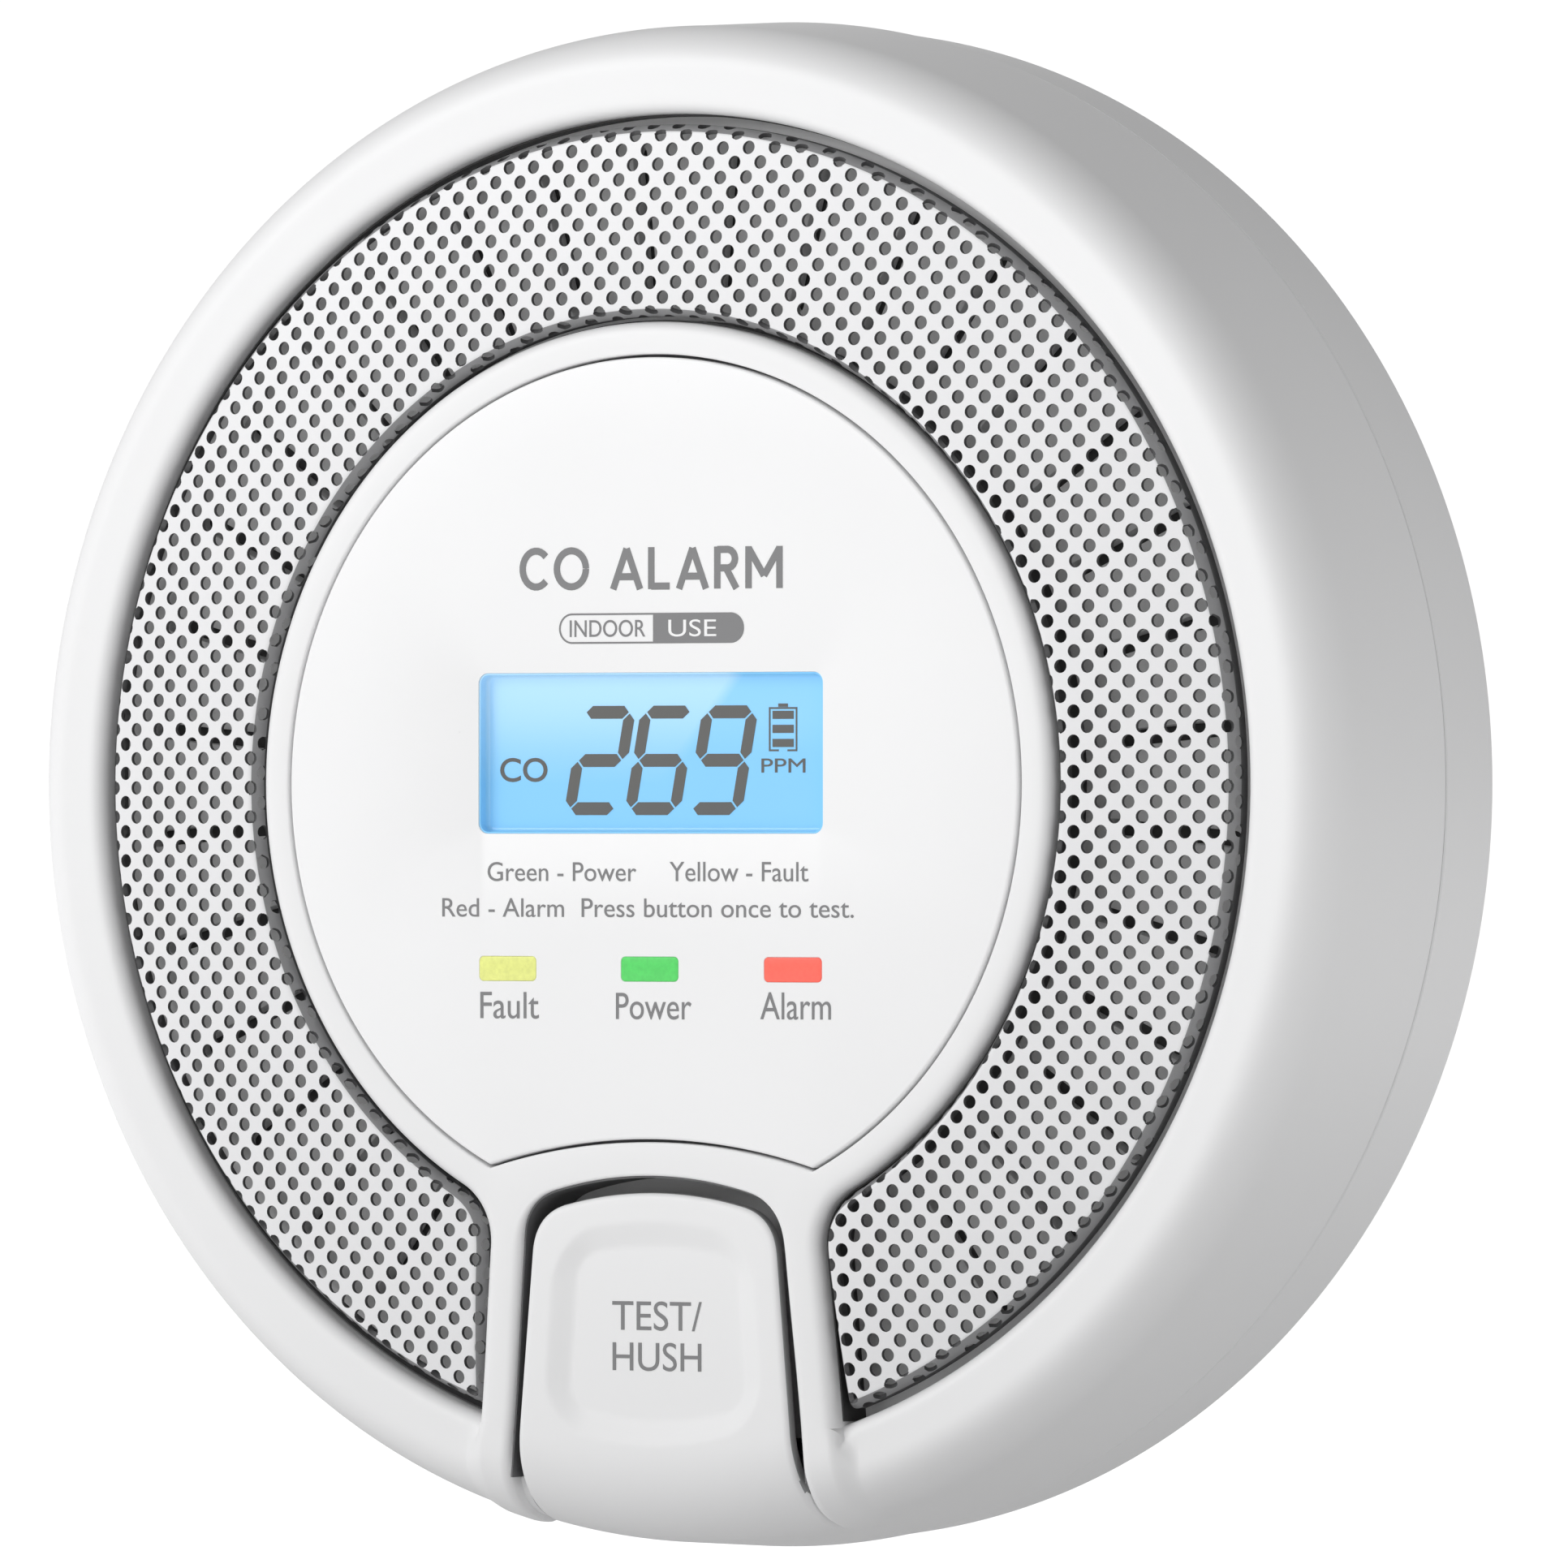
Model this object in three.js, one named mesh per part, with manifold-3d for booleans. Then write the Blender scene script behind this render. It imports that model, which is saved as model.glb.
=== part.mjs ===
// Battery carbon monoxide alarm: a round body that twists off a wall bracket, with a domed
// perforated grille, a faceplate with a display and three indicators, and a hinged test button.
//
// Millimetres. +Z is up, the front faces -Y, and the wall plane is y = 0. The body's axis is the
// Y axis. Every height below is a distance from the wall plane, so height h lies at y = -h.

import * as THREE from "three";
import { mergeVertices } from "three/addons/utils/BufferGeometryUtils.js";
import Module from "manifold-3d";

const wasm = await Module();
wasm.setup();

// ---------------------------------------------------------------- driving dimensions

// Fits
const seatGap = 0.3; // between pieces that touch
const slideGap = 0.4; // around pieces that move
const partingGap = 0.3; // front cover to rear housing
const stepGap = 0.6; // bracket's edge to the step in the rear housing

// Body
const bodyRadius = 55.1; // widest, at the parting line
const bodyDepth = 33.5; // wall plane to the bezel's front
const partingHeight = 17; // wall plane to the parting line
const wall = 2;
const bezelWidth = 7.15; // grille opening to the parting line's radius
const bezelDraft = 0.67; // how far the shoulder lies inside the parting line
const lipRound = 1;
const seamChamfer = 0.4;
const backStep = 4; // depth of the step that the bracket sits in
const shoulderWidth = 3.3;
const shoulderDepth = 5.1;

// Centre frame and faceplate
const faceplateRadius = 30.5;
const faceplateThickness = 1.2;
const faceplateGap = 0.35;
const crownRise = 1.6; // faceplate's front above the bezel's front
const ringWidth = 2.2;
const bridgeWidth = 2.27; // band between faceplate and button bay
const faceplateArcRadius = 48.2;
const faceplateCut = 5.08; // how far the bottom arc cuts into the faceplate
const deckThickness = 1.4;

// Legs beside the button
const legWidth = 2.85;
const legFillet = 4.5;
const legRise = 1.1; // above the bezel where the legs cross it
const legProud = 0.4; // beyond the side wall, at the end of the shoulder

// Grille and the slotted floor behind it
const grilleGap = 0.75; // to the bezel
const grilleRingGap = 0.55; // to the centre frame
const grilleThickness = 0.6;
const grilleRim = 0.6; // radius of the rolled edge
const domeInset = 0.8; // top of the dome, in from the faceplate's edge
const domeProud = 0.08; // top of the dome above the faceplate's front
const domeSink = 0.11; // outer edge of the dome below the bezel's front
const channelDepth = 3.5;
const floorThickness = 1.5;
const slotCount = 36;
const slotWidth = 1.2;
const slotMargin = 1.6;
const holeRows = 3;
const holeSize = 2.6;
const unslottedSpan = 32; // degrees either side of the button without slots
const unholedSpan = 30;

// Test button
const buttonTopGap = 1.2;
const buttonSideGap = 0.75;
const buttonTopHalf = 9.9; // half width at the top edge
const buttonTaper = 0.0857; // half width gained per millimetre down
const buttonArcRadius = 30.7;
const buttonCorner = 2;
const dishWidth = 13.2; // of the dish's floor
const dishHeight = 11.4;
const dishCorner = 2.5;
const dishStep = 1.6; // the upper step of the dish beyond its floor
const presserRadius = 1.5; // post under the button that meets the switch
const buttonThickness = 2;
const buttonSink = 0.4; // its face below the faceplate's
const buttonShoulder = 6.8;
const buttonFootHeight = 25.3; // its lower edge, from the wall
const dishDepth = 0.45;
const pivotInset = 5.7; // hinge axis in from the parting line's radius
const pivotHeight = 27.4;
const pinRadius = 1.2;
const pinLength = 1.7;
const armThickness = 1.6;
const armBelow = 1.8; // arm past the hinge axis, towards the button's foot
const armAbove = 4;
const bossWidth = 2.6;
const bossBelow = 2.6;
const bossAbove = 2.8;
const bossRoom = 1.4; // boss behind the pin's hole

// Display and indicators
const displayWidth = 28.84;
const displayHeight = 11.5;
const displayZ = 2.2;
const displayCorner = 0.7;
const displayMargin = 0.7; // panel beyond the window
const panelThickness = 2;
const zebraWidth = 2;
const holderWall = 1.6;
const ledWidth = 4.8;
const ledHeight = 1.78;
const ledPitch = 11.95;
const ledZ = -13.25;
const ledCorner = 0.35;
const pipeInset = 0.3;
const chipWidth = 3.2;
const chipDepth = 1.6;
const chipHeight = 1;
const chipDome = 0.7; // radius of its lens

// Circuit board and what it carries
const boardThickness = 1.6;
const boardGap = 3.5; // board edge to the inside of the wall
const sensorRadius = 10;
const sensorLength = 14;
const sensorInset = 14.6; // sensor to the board's edge
const sensorZ = -14;
const filterThickness = 1.2;
const filterRadius = 6;
const chamberRadius = 13;
const chamberDepth = 9;
const chamberWall = 1.2;
const chamberMouth = 3;
const chamberInset = 3.1; // chamber to the board's edge
const chamberZ = -12;
const discRadius = 12.5;
const discThickness = 0.5;
const switchSide = 6;
const switchHeight = 2.4;
const switchInset = 6.74; // switch down from the button's top edge
const plungerRadius = 1.75;
const plungerRise = 0.9; // plunger above the switch body
const plungerStart = 1.2; // its foot above the switch's base
const capacitorRadius = 3.15;
const capacitorLength = 7;
const capacitorZ = -29;
const inductorRadius = 4;
const inductorLength = 5;
const inductorX = 6;
const inductorZ = -28;
const controllerSide = 12;
const controllerDepth = 10;
const controllerHeight = 1.6;
const controllerZ = -11;
const crystalWidth = 3.5;
const crystalLength = 8;
const crystalHeight = 2.4;
const crystalX = 10.25;
const crystalZ = -10;

// Battery compartment
const batteryRadius = 8.5;
const batteryLength = 34.5;
const batteryZ = 15;
const batteryRoom = 0.6;
const batteryKnob = 3; // radius of its raised end
const springLength = 4.2;
const springWire = 0.4; // radius
const springTurns = 3;
const springWide = 5; // coil radius against the housing
const springNarrow = 3.4; // coil radius against the battery
const bladeThickness = 0.4;
const bladeHalfWidth = 5;
const contactRoom = 1.2;
const compartmentWall = 1.6;
const doorThickness = 1.7;
const doorPinRadius = 0.9;
const doorKnuckle = 1.5;
const doorPinLength = 1.1;
const gripHalf = 5; // half width of the finger grooves
const gripPitch = 2;
const latchHalf = 4;
const latchRise = 1.5; // latch past the inside of the door
const notchHalf = 6; // fingernail notch below the door
const notchDepth = 3;

// Mounting bracket
const bracketInset = 6.6; // bracket in from the parting line's radius
const bracketDepth = 5.2;
const bracketPlate = 2.4;
const bracketWidth = 14.5; // of the ring
const rimWidth = 1.8;
const backGap = 0.4; // bracket to rear housing
const hookInset = 3.8; // hooks in from the bracket's edge
const hookThickness = 2.4;
const hookAngle = 13; // degrees along the ring
const hookLip = 1.6;
const hookLipThickness = 1.5;
const twistAngle = 15; // degrees to unlock
const hookAngles = [90, 210, 330];
const wallSlotWidth = 3.9;
const wallSlotLength = 9;

// Housing screws
const screwAngles = [35, 145, 245, 295];
const screwInset = 3.7; // housing screws in from the hooks
const screwRadius = 1.3;
const screwHeadRadius = 2.5;
const screwHeadHeight = 1.8;
const screwLength = 14;
const screwBossRadius = 3.2;
const screwPostRadius = 4.2;
const driveHalf = 1.5; // half length of the cross slot in the head
const driveHalfWidth = 0.3;
const driveDepth = 0.9;

// Facets
const roundSides = 44;
const smallSides = 16;

// ---------------------------------------------------------------- derived places

const openingRadius = bodyRadius - bezelWidth;
const shoulderRadius = bodyRadius - bezelDraft;
const crownHeight = bodyDepth + crownRise;
const recessRadius = faceplateRadius + faceplateGap;
const faceplateBottom = faceplateCut - faceplateRadius; // top of the arc that cuts it
const ringRadius = recessRadius + ringWidth;
const deckTop = crownHeight - faceplateThickness - seatGap;
const deckBottom = deckTop - deckThickness;
const floorTop = bodyDepth - channelDepth;
const floorBottom = floorTop - floorThickness;
const grilleOuter = openingRadius - grilleGap;
const grilleInner = ringRadius + grilleRingGap;
const boardTop = floorBottom - seatGap - 0.2;
const boardBottom = boardTop - boardThickness;
const boardRadius = bodyRadius - wall - boardGap;
const partsTop = boardBottom - seatGap; // parts under the board start here
const sensorX = -(boardRadius - sensorRadius - sensorInset);
const chamberX = boardRadius - chamberRadius - chamberInset;
const bayTop = faceplateBottom - faceplateGap - bridgeWidth;
const buttonTop = bayTop - buttonTopGap;
const pivotZ = pivotInset - bodyRadius;
const switchZ = buttonTop - switchInset;
const buttonHeight = crownHeight - buttonSink;
const backHeight = bracketDepth + backGap; // outside of the housing's back plate
const plateTop = backHeight + wall; // inside of the back plate
const cavityLeft = -batteryLength / 2 - springLength;
const cavityRight = batteryLength / 2 + contactRoom;
const cavityLow = batteryZ - batteryRadius - batteryRoom;
const cavityHigh = batteryZ + batteryRadius + batteryRoom;
const batteryHeight = plateTop + batteryRoom + batteryRadius;
const hingeZ = cavityHigh - doorKnuckle - slideGap;
const hingeHeight = backHeight + doorKnuckle;
const bracketRadius = bodyRadius - bracketInset;
const bracketOpening = bracketRadius - bracketWidth;
const wallSlotRadius = bracketRadius - bracketWidth / 2;
const hookRadius = bracketRadius - hookInset;
const screwCircle = hookRadius - screwInset;
const bottomZ = -bodyRadius - 5; // below the whole body
const buttonAngle = 270; // the button's direction from the axis

// ---------------------------------------------------------------- shape tools

const radians = THREE.MathUtils.degToRad;

/** A closed solid from a closed geometry, with its faces pointing out. */
function solidOf(geometry) {
  const bare = new THREE.BufferGeometry();
  bare.setAttribute("position", geometry.getAttribute("position").clone());
  if (geometry.index) bare.setIndex(geometry.index.clone());
  const merged = mergeVertices(bare, 1e-4);
  const position = merged.getAttribute("position");
  const index = merged.index.array;
  const corners = [];
  let volume = 0;
  const [a, b, c] = [new THREE.Vector3(), new THREE.Vector3(), new THREE.Vector3()];
  for (let i = 0; i < index.length; i += 3) {
    const [p, q, r] = [index[i], index[i + 1], index[i + 2]];
    if (p === q || q === r || r === p) continue;
    corners.push(p, q, r);
    a.fromBufferAttribute(position, p);
    b.fromBufferAttribute(position, q);
    c.fromBufferAttribute(position, r);
    volume += a.dot(b.cross(c));
  }
  if (volume < 0) corners.reverse();
  const vertProperties = Float32Array.from(position.array);
  const triVerts = Uint32Array.from(corners);
  const solid = new wasm.Manifold(new wasm.Mesh({ numProp: 3, vertProperties, triVerts }));
  if (solid.isEmpty()) throw new Error("a shape came out empty");
  return solid;
}

function geometryOf(solid) {
  const mesh = solid.getMesh();
  const geometry = new THREE.BufferGeometry();
  geometry.setAttribute("position", new THREE.BufferAttribute(mesh.vertProperties, 3));
  geometry.setIndex(new THREE.BufferAttribute(mesh.triVerts, 1));
  return geometry;
}

function join(first, ...others) {
  return geometryOf(others.reduce((sum, next) => sum.add(solidOf(next)), solidOf(first)));
}

function cut(first, ...others) {
  return geometryOf(others.reduce((rest, next) => rest.subtract(solidOf(next)), solidOf(first)));
}

function common(first, second) {
  return geometryOf(solidOf(first).intersect(solidOf(second)));
}

/** Turns a closed profile of [radius, height] points about the body's axis. */
function lathe(profile, sides = roundSides) {
  const points = profile.map(([radius, height]) => new THREE.Vector2(radius, -height));
  return new THREE.LatheGeometry([...points, points[0].clone()], sides);
}

/** Extrudes an outline drawn in X and Z from one height to another. */
function plate(shape, low, high, curveSegments = 4) {
  const options = { depth: high - low, bevelEnabled: false, curveSegments };
  return new THREE.ExtrudeGeometry(shape, options).rotateX(Math.PI / 2).translate(0, -low, 0);
}

function block(x0, x1, z0, z1, low, high) {
  const box = new THREE.BoxGeometry(x1 - x0, high - low, z1 - z0);
  return box.translate((x0 + x1) / 2, -(low + high) / 2, (z0 + z1) / 2);
}

function drum(radius, low, high, x = 0, z = 0, sides = smallSides) {
  const cylinder = new THREE.CylinderGeometry(radius, radius, high - low, sides);
  return cylinder.translate(x, -(low + high) / 2, z);
}

/** A round bar along X. */
function bar(radius, x0, x1, z, height, sides = smallSides) {
  const cylinder = new THREE.CylinderGeometry(radius, radius, x1 - x0, sides);
  return cylinder.rotateZ(Math.PI / 2).translate((x0 + x1) / 2, -height, z);
}

/** Turns a geometry about the body's axis, anticlockwise as seen from the front. */
function spun(geometry, degrees) {
  return geometry.rotateY(-radians(degrees));
}

function roundedRectangle(width, height, corner, x = 0, z = 0) {
  const [left, right] = [x - width / 2, x + width / 2];
  const [low, high] = [z - height / 2, z + height / 2];
  const shape = new THREE.Shape();
  shape.moveTo(left + corner, low);
  shape.lineTo(right - corner, low);
  shape.absarc(right - corner, low + corner, corner, -Math.PI / 2, 0);
  shape.lineTo(right, high - corner);
  shape.absarc(right - corner, high - corner, corner, 0, Math.PI / 2);
  shape.lineTo(left + corner, high);
  shape.absarc(left + corner, high - corner, corner, Math.PI / 2, Math.PI);
  shape.lineTo(left, low + corner);
  shape.absarc(left + corner, low + corner, corner, Math.PI, 1.5 * Math.PI);
  return shape;
}

/** A quarter ellipse from a flat front edge round to a side wall. */
function shoulder(frontRadius, frontHeight, sideRadius, sideHeight, steps = 5) {
  const points = [];
  for (let i = 0; i <= steps; i += 1) {
    const angle = (i / steps) * (Math.PI / 2);
    const radius = frontRadius + (sideRadius - frontRadius) * Math.sin(angle);
    points.push([radius, sideHeight + (frontHeight - sideHeight) * Math.cos(angle)]);
  }
  return points;
}

/** Part of a ring, centred on an angle, between two radii and two heights. */
function ringPart(inner, outer, low, high, angle, span, steps = 6) {
  const shape = new THREE.Shape();
  const [start, end] = [radians(angle - span / 2), radians(angle + span / 2)];
  shape.absarc(0, 0, outer, start, end, false);
  shape.absarc(0, 0, inner, end, start, true);
  return plate(shape, low, high, steps);
}

// ---------------------------------------------------------------- outlines seen from the front

/** Radius of the body's side wall at a height, outside. */
function sideRadius(height) {
  const sideHeight = bodyDepth - shoulderDepth;
  const share = (sideHeight - height) / (sideHeight - partingHeight);
  return shoulderRadius + bezelDraft * share;
}

/** Height of the grille's domed front at a radius. */
function domeHeight(radius) {
  const crown = faceplateRadius - domeInset;
  const share = (radius - crown) / (grilleOuter - crown);
  const drop = domeProud + crownRise + domeSink;
  return crownHeight + domeProud - drop * share * share;
}

/** Half width of the button at a place up the face, grown by a gap. */
function buttonHalf(z, grow = 0) {
  return buttonTopHalf + grow + (buttonTop - z) * buttonTaper;
}

/** Half width over both legs. */
function legHalf(z, grow = 0) {
  return buttonHalf(z, buttonSideGap + legWidth + grow);
}

/** A flap outline: arched top edge, rounded corners and sides that widen downwards. */
function flapOutline(top, grow, corner) {
  const arcCentre = top - buttonArcRadius;
  const edge = (x) => arcCentre + Math.sqrt(buttonArcRadius ** 2 - x ** 2);
  let half = buttonHalf(top, grow);
  half = buttonHalf(edge(half), grow);
  const cornerZ = edge(half);
  const arcAngle = Math.asin((half - corner) / buttonArcRadius);
  const shape = new THREE.Shape();
  shape.moveTo(buttonHalf(bottomZ, grow), bottomZ);
  shape.lineTo(buttonHalf(cornerZ - corner, grow), cornerZ - corner);
  shape.quadraticCurveTo(half, cornerZ, half - corner, edge(half - corner));
  shape.absarc(0, arcCentre, buttonArcRadius, Math.PI / 2 - arcAngle, Math.PI / 2 + arcAngle);
  shape.quadraticCurveTo(-half, cornerZ, -buttonHalf(cornerZ - corner, grow), cornerZ - corner);
  shape.lineTo(-buttonHalf(bottomZ, grow), bottomZ);
  return shape;
}

const buttonOutline = flapOutline(buttonTop, 0, buttonCorner);
const bayOutline = flapOutline(bayTop, buttonSideGap, buttonCorner + buttonSideGap);

/** Faceplate outline: a circle cut by an arc at the bottom. */
function faceplateOutline(grow) {
  const radius = faceplateRadius + grow;
  const arcRadius = faceplateArcRadius - grow;
  const arcCentre = faceplateBottom - faceplateArcRadius;
  const cornerZ = (radius ** 2 - arcRadius ** 2 + arcCentre ** 2) / (2 * arcCentre);
  const cornerX = Math.sqrt(radius ** 2 - cornerZ ** 2);
  const shape = new THREE.Shape();
  const [left, right] = [Math.atan2(cornerZ, -cornerX), Math.atan2(cornerZ, cornerX)];
  shape.absarc(0, 0, radius, right, left + 2 * Math.PI, false);
  const arcLeft = Math.atan2(cornerZ - arcCentre, -cornerX);
  const arcRight = Math.atan2(cornerZ - arcCentre, cornerX);
  shape.absarc(0, arcCentre, arcRadius, arcLeft, arcRight, true);
  return shape;
}

/** Keyhole outline: the ring with both legs, with fillets where they meet. */
function keyholeOutline(grow) {
  const radius = ringRadius + grow;
  const fillet = legFillet - grow;
  let centreZ = -radius;
  for (let i = 0; i < 12; i += 1) {
    const centreX = legHalf(centreZ, grow) + fillet;
    centreZ = -Math.sqrt((radius + fillet) ** 2 - centreX ** 2);
  }
  const centreX = legHalf(centreZ, grow) + fillet;
  const towards = Math.atan2(-centreZ, -centreX);
  const meeting = Math.atan2(centreZ, centreX);
  const shape = new THREE.Shape();
  shape.moveTo(legHalf(bottomZ, grow), bottomZ);
  shape.lineTo(centreX - fillet, centreZ);
  shape.absarc(centreX, centreZ, fillet, Math.PI, towards, true);
  shape.absarc(0, 0, radius, meeting, Math.PI - meeting, false);
  shape.absarc(-centreX, centreZ, fillet, Math.PI - towards, 0, true);
  shape.lineTo(-legHalf(bottomZ, grow), bottomZ);
  return shape;
}

const displayOutline = (grow) => roundedRectangle(
  displayWidth + 2 * grow, displayHeight + 2 * grow, displayCorner, 0, displayZ);

const ledOutline = (x, grow) => roundedRectangle(
  ledWidth + 2 * grow, ledHeight + 2 * grow, ledCorner, x, ledZ);

const indicators = [
  { name: "yellow", x: -ledPitch, color: 0xe2e888 },
  { name: "green", x: 0, color: 0x56d868 },
  { name: "red", x: ledPitch, color: 0xff7364 },
];

const screwPlaces = screwAngles.map((angle) => [
  screwCircle * Math.cos(radians(angle)),
  screwCircle * Math.sin(radians(angle)),
]);

// ---------------------------------------------------------------- casing

/** Bezel, side wall, channel floor, ring wall and deck, as one turned shell. */
function coverShell() {
  const frontEdge = shoulderRadius - shoulderWidth;
  const sideHeight = bodyDepth - shoulderDepth;
  const seamHeight = partingHeight + partingGap / 2;
  const innerLip = openingRadius + wall * 0.8;
  return lathe([
    [0, deckTop],
    [recessRadius, deckTop],
    [ringRadius, deckTop],
    [ringRadius, floorTop],
    [openingRadius, floorTop],
    [openingRadius, bodyDepth - lipRound],
    [openingRadius + lipRound * 0.3, bodyDepth - lipRound * 0.3],
    [openingRadius + lipRound, bodyDepth],
    ...shoulder(frontEdge, bodyDepth, shoulderRadius, sideHeight),
    [bodyRadius, seamHeight],
    [bodyRadius - wall, seamHeight],
    ...shoulder(frontEdge, bodyDepth - wall, shoulderRadius - wall, sideHeight, 2).reverse(),
    [innerLip, bodyDepth - wall],
    [innerLip, floorBottom],
    [ringRadius - ringWidth, floorBottom],
    [ringRadius - ringWidth, deckBottom],
    [0, deckBottom],
  ]);
}

/** Everything under the face of the ring and legs, down past the floor. */
function frameEnvelope() {
  const legTop = bodyDepth + legRise;
  const crossing = openingRadius + 0.5;
  const sideHeight = bodyDepth - shoulderDepth;
  return lathe([
    [0, floorBottom],
    [0, crownHeight],
    [ringRadius - 1, crownHeight],
    [crossing, legTop],
    ...shoulder(crossing + 0.6, legTop - 0.1, shoulderRadius + legProud, sideHeight).slice(1),
    [sideRadius(buttonFootHeight) - 0.5, buttonFootHeight],
    [openingRadius + 1, buttonFootHeight],
    [openingRadius + 1, floorBottom],
  ]);
}

/** Blocks beside the bay that hold the button's pins. */
function pivotBosses() {
  const inside = buttonHalf(pivotZ, buttonSideGap);
  const low = pivotHeight - pinRadius - slideGap - bossRoom;
  const boss = (x0, x1) => block(x0, x1, pivotZ - bossBelow, pivotZ + bossAbove, low, floorTop);
  return [boss(inside, inside + bossWidth), boss(-inside - bossWidth, -inside)];
}

/** Radial slots through the channel floor, all round except behind the button. */
function floorSlots() {
  const slots = [];
  const inner = grilleInner + slotMargin;
  const outer = grilleOuter - slotMargin;
  for (let i = 0; i < slotCount; i += 1) {
    const angle = (i + 0.5) * (360 / slotCount);
    if (Math.abs(angle - buttonAngle) > unslottedSpan) {
      const slot = block(
        inner, outer, -slotWidth / 2, slotWidth / 2, floorBottom - 1, floorTop + 1);
      slots.push(spun(slot, angle));
    }
  }
  return slots;
}

function frontCover() {
  const frame = cut(
    common(plate(keyholeOutline(0), buttonFootHeight, crownHeight + 1, 9), frameEnvelope()),
    plate(faceplateOutline(faceplateGap), 0, deckBottom, 14));
  const bosses = screwPlaces.map(([x, z]) => (
    drum(screwBossRadius, partingHeight + partingGap, floorBottom + 0.5, x, z, 12)));
  const body = join(coverShell(), frame, ...pivotBosses(), ...bosses);
  const displayCut = displayOutline(displayMargin + seatGap);
  const ledCuts = indicators.map(({ x }) => (
    plate(ledOutline(x, seatGap), deckBottom - 1, crownHeight)));
  const pilots = screwPlaces.map(([x, z]) => (
    drum(screwRadius + seatGap, 0, plateTop + screwLength + 1, x, z, 12)));
  const pinReach = buttonHalf(pivotZ, buttonSideGap) + pinLength - buttonSideGap + slideGap;
  return cut(
    body,
    plate(bayOutline, buttonFootHeight - slideGap, crownHeight + 2, 6),
    plate(faceplateOutline(faceplateGap), deckTop, crownHeight + 2, 14),
    plate(displayCut, deckBottom - 1, crownHeight),
    ...ledCuts,
    ...floorSlots(),
    ...pilots,
    bar(pinRadius + slideGap / 2, -pinReach, pinReach, pivotZ, pivotHeight),
  );
}

/** Perforated, domed C of sheet with its edges turned down onto the channel floor. */
function grille() {
  const foot = floorTop + seatGap;
  const outside = [];
  const inside = [];
  const from = grilleInner + grilleRim;
  const rowWidth = (grilleOuter - grilleRim - from) / holeRows;
  for (let i = 0; i <= holeRows; i += 1) {
    const radius = from + rowWidth * i;
    outside.push([radius, domeHeight(radius)]);
    inside.push([radius, domeHeight(radius) - grilleThickness]);
  }
  const pan = lathe([
    [grilleInner, foot],
    [grilleInner, domeHeight(grilleInner) - grilleRim],
    ...outside,
    [grilleOuter, domeHeight(grilleOuter) - grilleRim],
    [grilleOuter, foot],
    [grilleOuter - grilleThickness, foot],
    [grilleOuter - grilleThickness, domeHeight(grilleOuter) - grilleRim - grilleThickness],
    ...inside.reverse(),
    [grilleInner + grilleThickness, domeHeight(grilleInner) - grilleRim - grilleThickness],
    [grilleInner + grilleThickness, foot],
  ]);
  const holes = [];
  for (let row = 0; row < holeRows; row += 1) {
    const radius = from + rowWidth * (row + 0.5);
    for (let side = row % 2; side < roundSides; side += 2) {
      const angle = (side + 0.5) * (360 / roundSides);
      if (Math.abs(angle - buttonAngle) > unholedSpan) {
        const hole = drum(holeSize / 2, floorTop + 1, crownHeight + 1, radius, 0, 4);
        holes.push(spun(hole, angle));
      }
    }
  }
  return cut(pan, plate(keyholeOutline(grilleRingGap), 0, crownHeight + 5, 9), ...holes);
}

/** Cuts for one hook: a wide entry, and a narrow stretch to twist along. */
function hookSlot(angle) {
  const spare = 1.2; // degrees of play at each end
  const half = hookThickness / 2 + seatGap;
  const narrowSpan = hookAngle + twistAngle + 2 * spare;
  const wideSpan = hookAngle + 2 * spare;
  const top = plateTop + 4;
  const [inner, outer] = [hookRadius - half, hookRadius + half];
  return [
    ringPart(inner, outer, 0, top, angle - twistAngle / 2, narrowSpan, 8),
    ringPart(inner - hookLip, outer, 0, top, angle - twistAngle, wideSpan),
  ];
}

function rearHousing() {
  const seamHeight = partingHeight - partingGap / 2;
  const stepRadius = bracketRadius + stepGap;
  const edgeHeight = backHeight + backStep;
  const tongue = bodyRadius - wall - seatGap;
  const shell = lathe([
    [0, backHeight],
    [stepRadius - 0.4, backHeight],
    [stepRadius, backHeight + 0.4],
    [stepRadius + 0.4, edgeHeight - 1.4],
    [bodyRadius - 1.5, edgeHeight - 1],
    [bodyRadius - seamChamfer, edgeHeight],
    [bodyRadius, seamHeight],
    [tongue, seamHeight],
    [tongue, seamHeight + wall],
    [tongue - wall * 0.6, seamHeight + wall],
    [tongue - wall * 0.6, edgeHeight + 1],
    [stepRadius - 1.2, edgeHeight + 0.6],
    [stepRadius - 1.6, plateTop],
    [0, plateTop],
  ]);
  const tubTop = batteryHeight + batteryRadius * 0.5;
  const tub = block(
    cavityLeft - compartmentWall, cavityRight + compartmentWall,
    cavityLow - compartmentWall, cavityHigh + compartmentWall, backHeight, tubTop);
  const posts = screwPlaces.map(([x, z]) => (
    drum(screwPostRadius, backHeight + 0.2, seamHeight, x, z)));
  const heads = screwPlaces.map(([x, z]) => (
    drum(screwHeadRadius + seatGap, 0, plateTop + 0.6, x, z)));
  const shafts = screwPlaces.map(([x, z]) => (
    drum(screwRadius + seatGap, 0, bodyDepth, x, z, 12)));
  const doorPins = bar(doorPinRadius + slideGap / 2, cavityLeft - doorPinLength - slideGap,
    cavityRight + doorPinLength + slideGap, hingeZ, hingeHeight);
  return cut(
    join(shell, tub, ...posts),
    block(cavityLeft, cavityRight, cavityLow, cavityHigh, 0, bodyDepth),
    block(-notchHalf, notchHalf, cavityLow - notchDepth, cavityLow + 1, 0, backHeight + 1),
    doorPins,
    ...hookAngles.flatMap(hookSlot),
    ...heads,
    ...shafts,
  );
}

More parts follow.
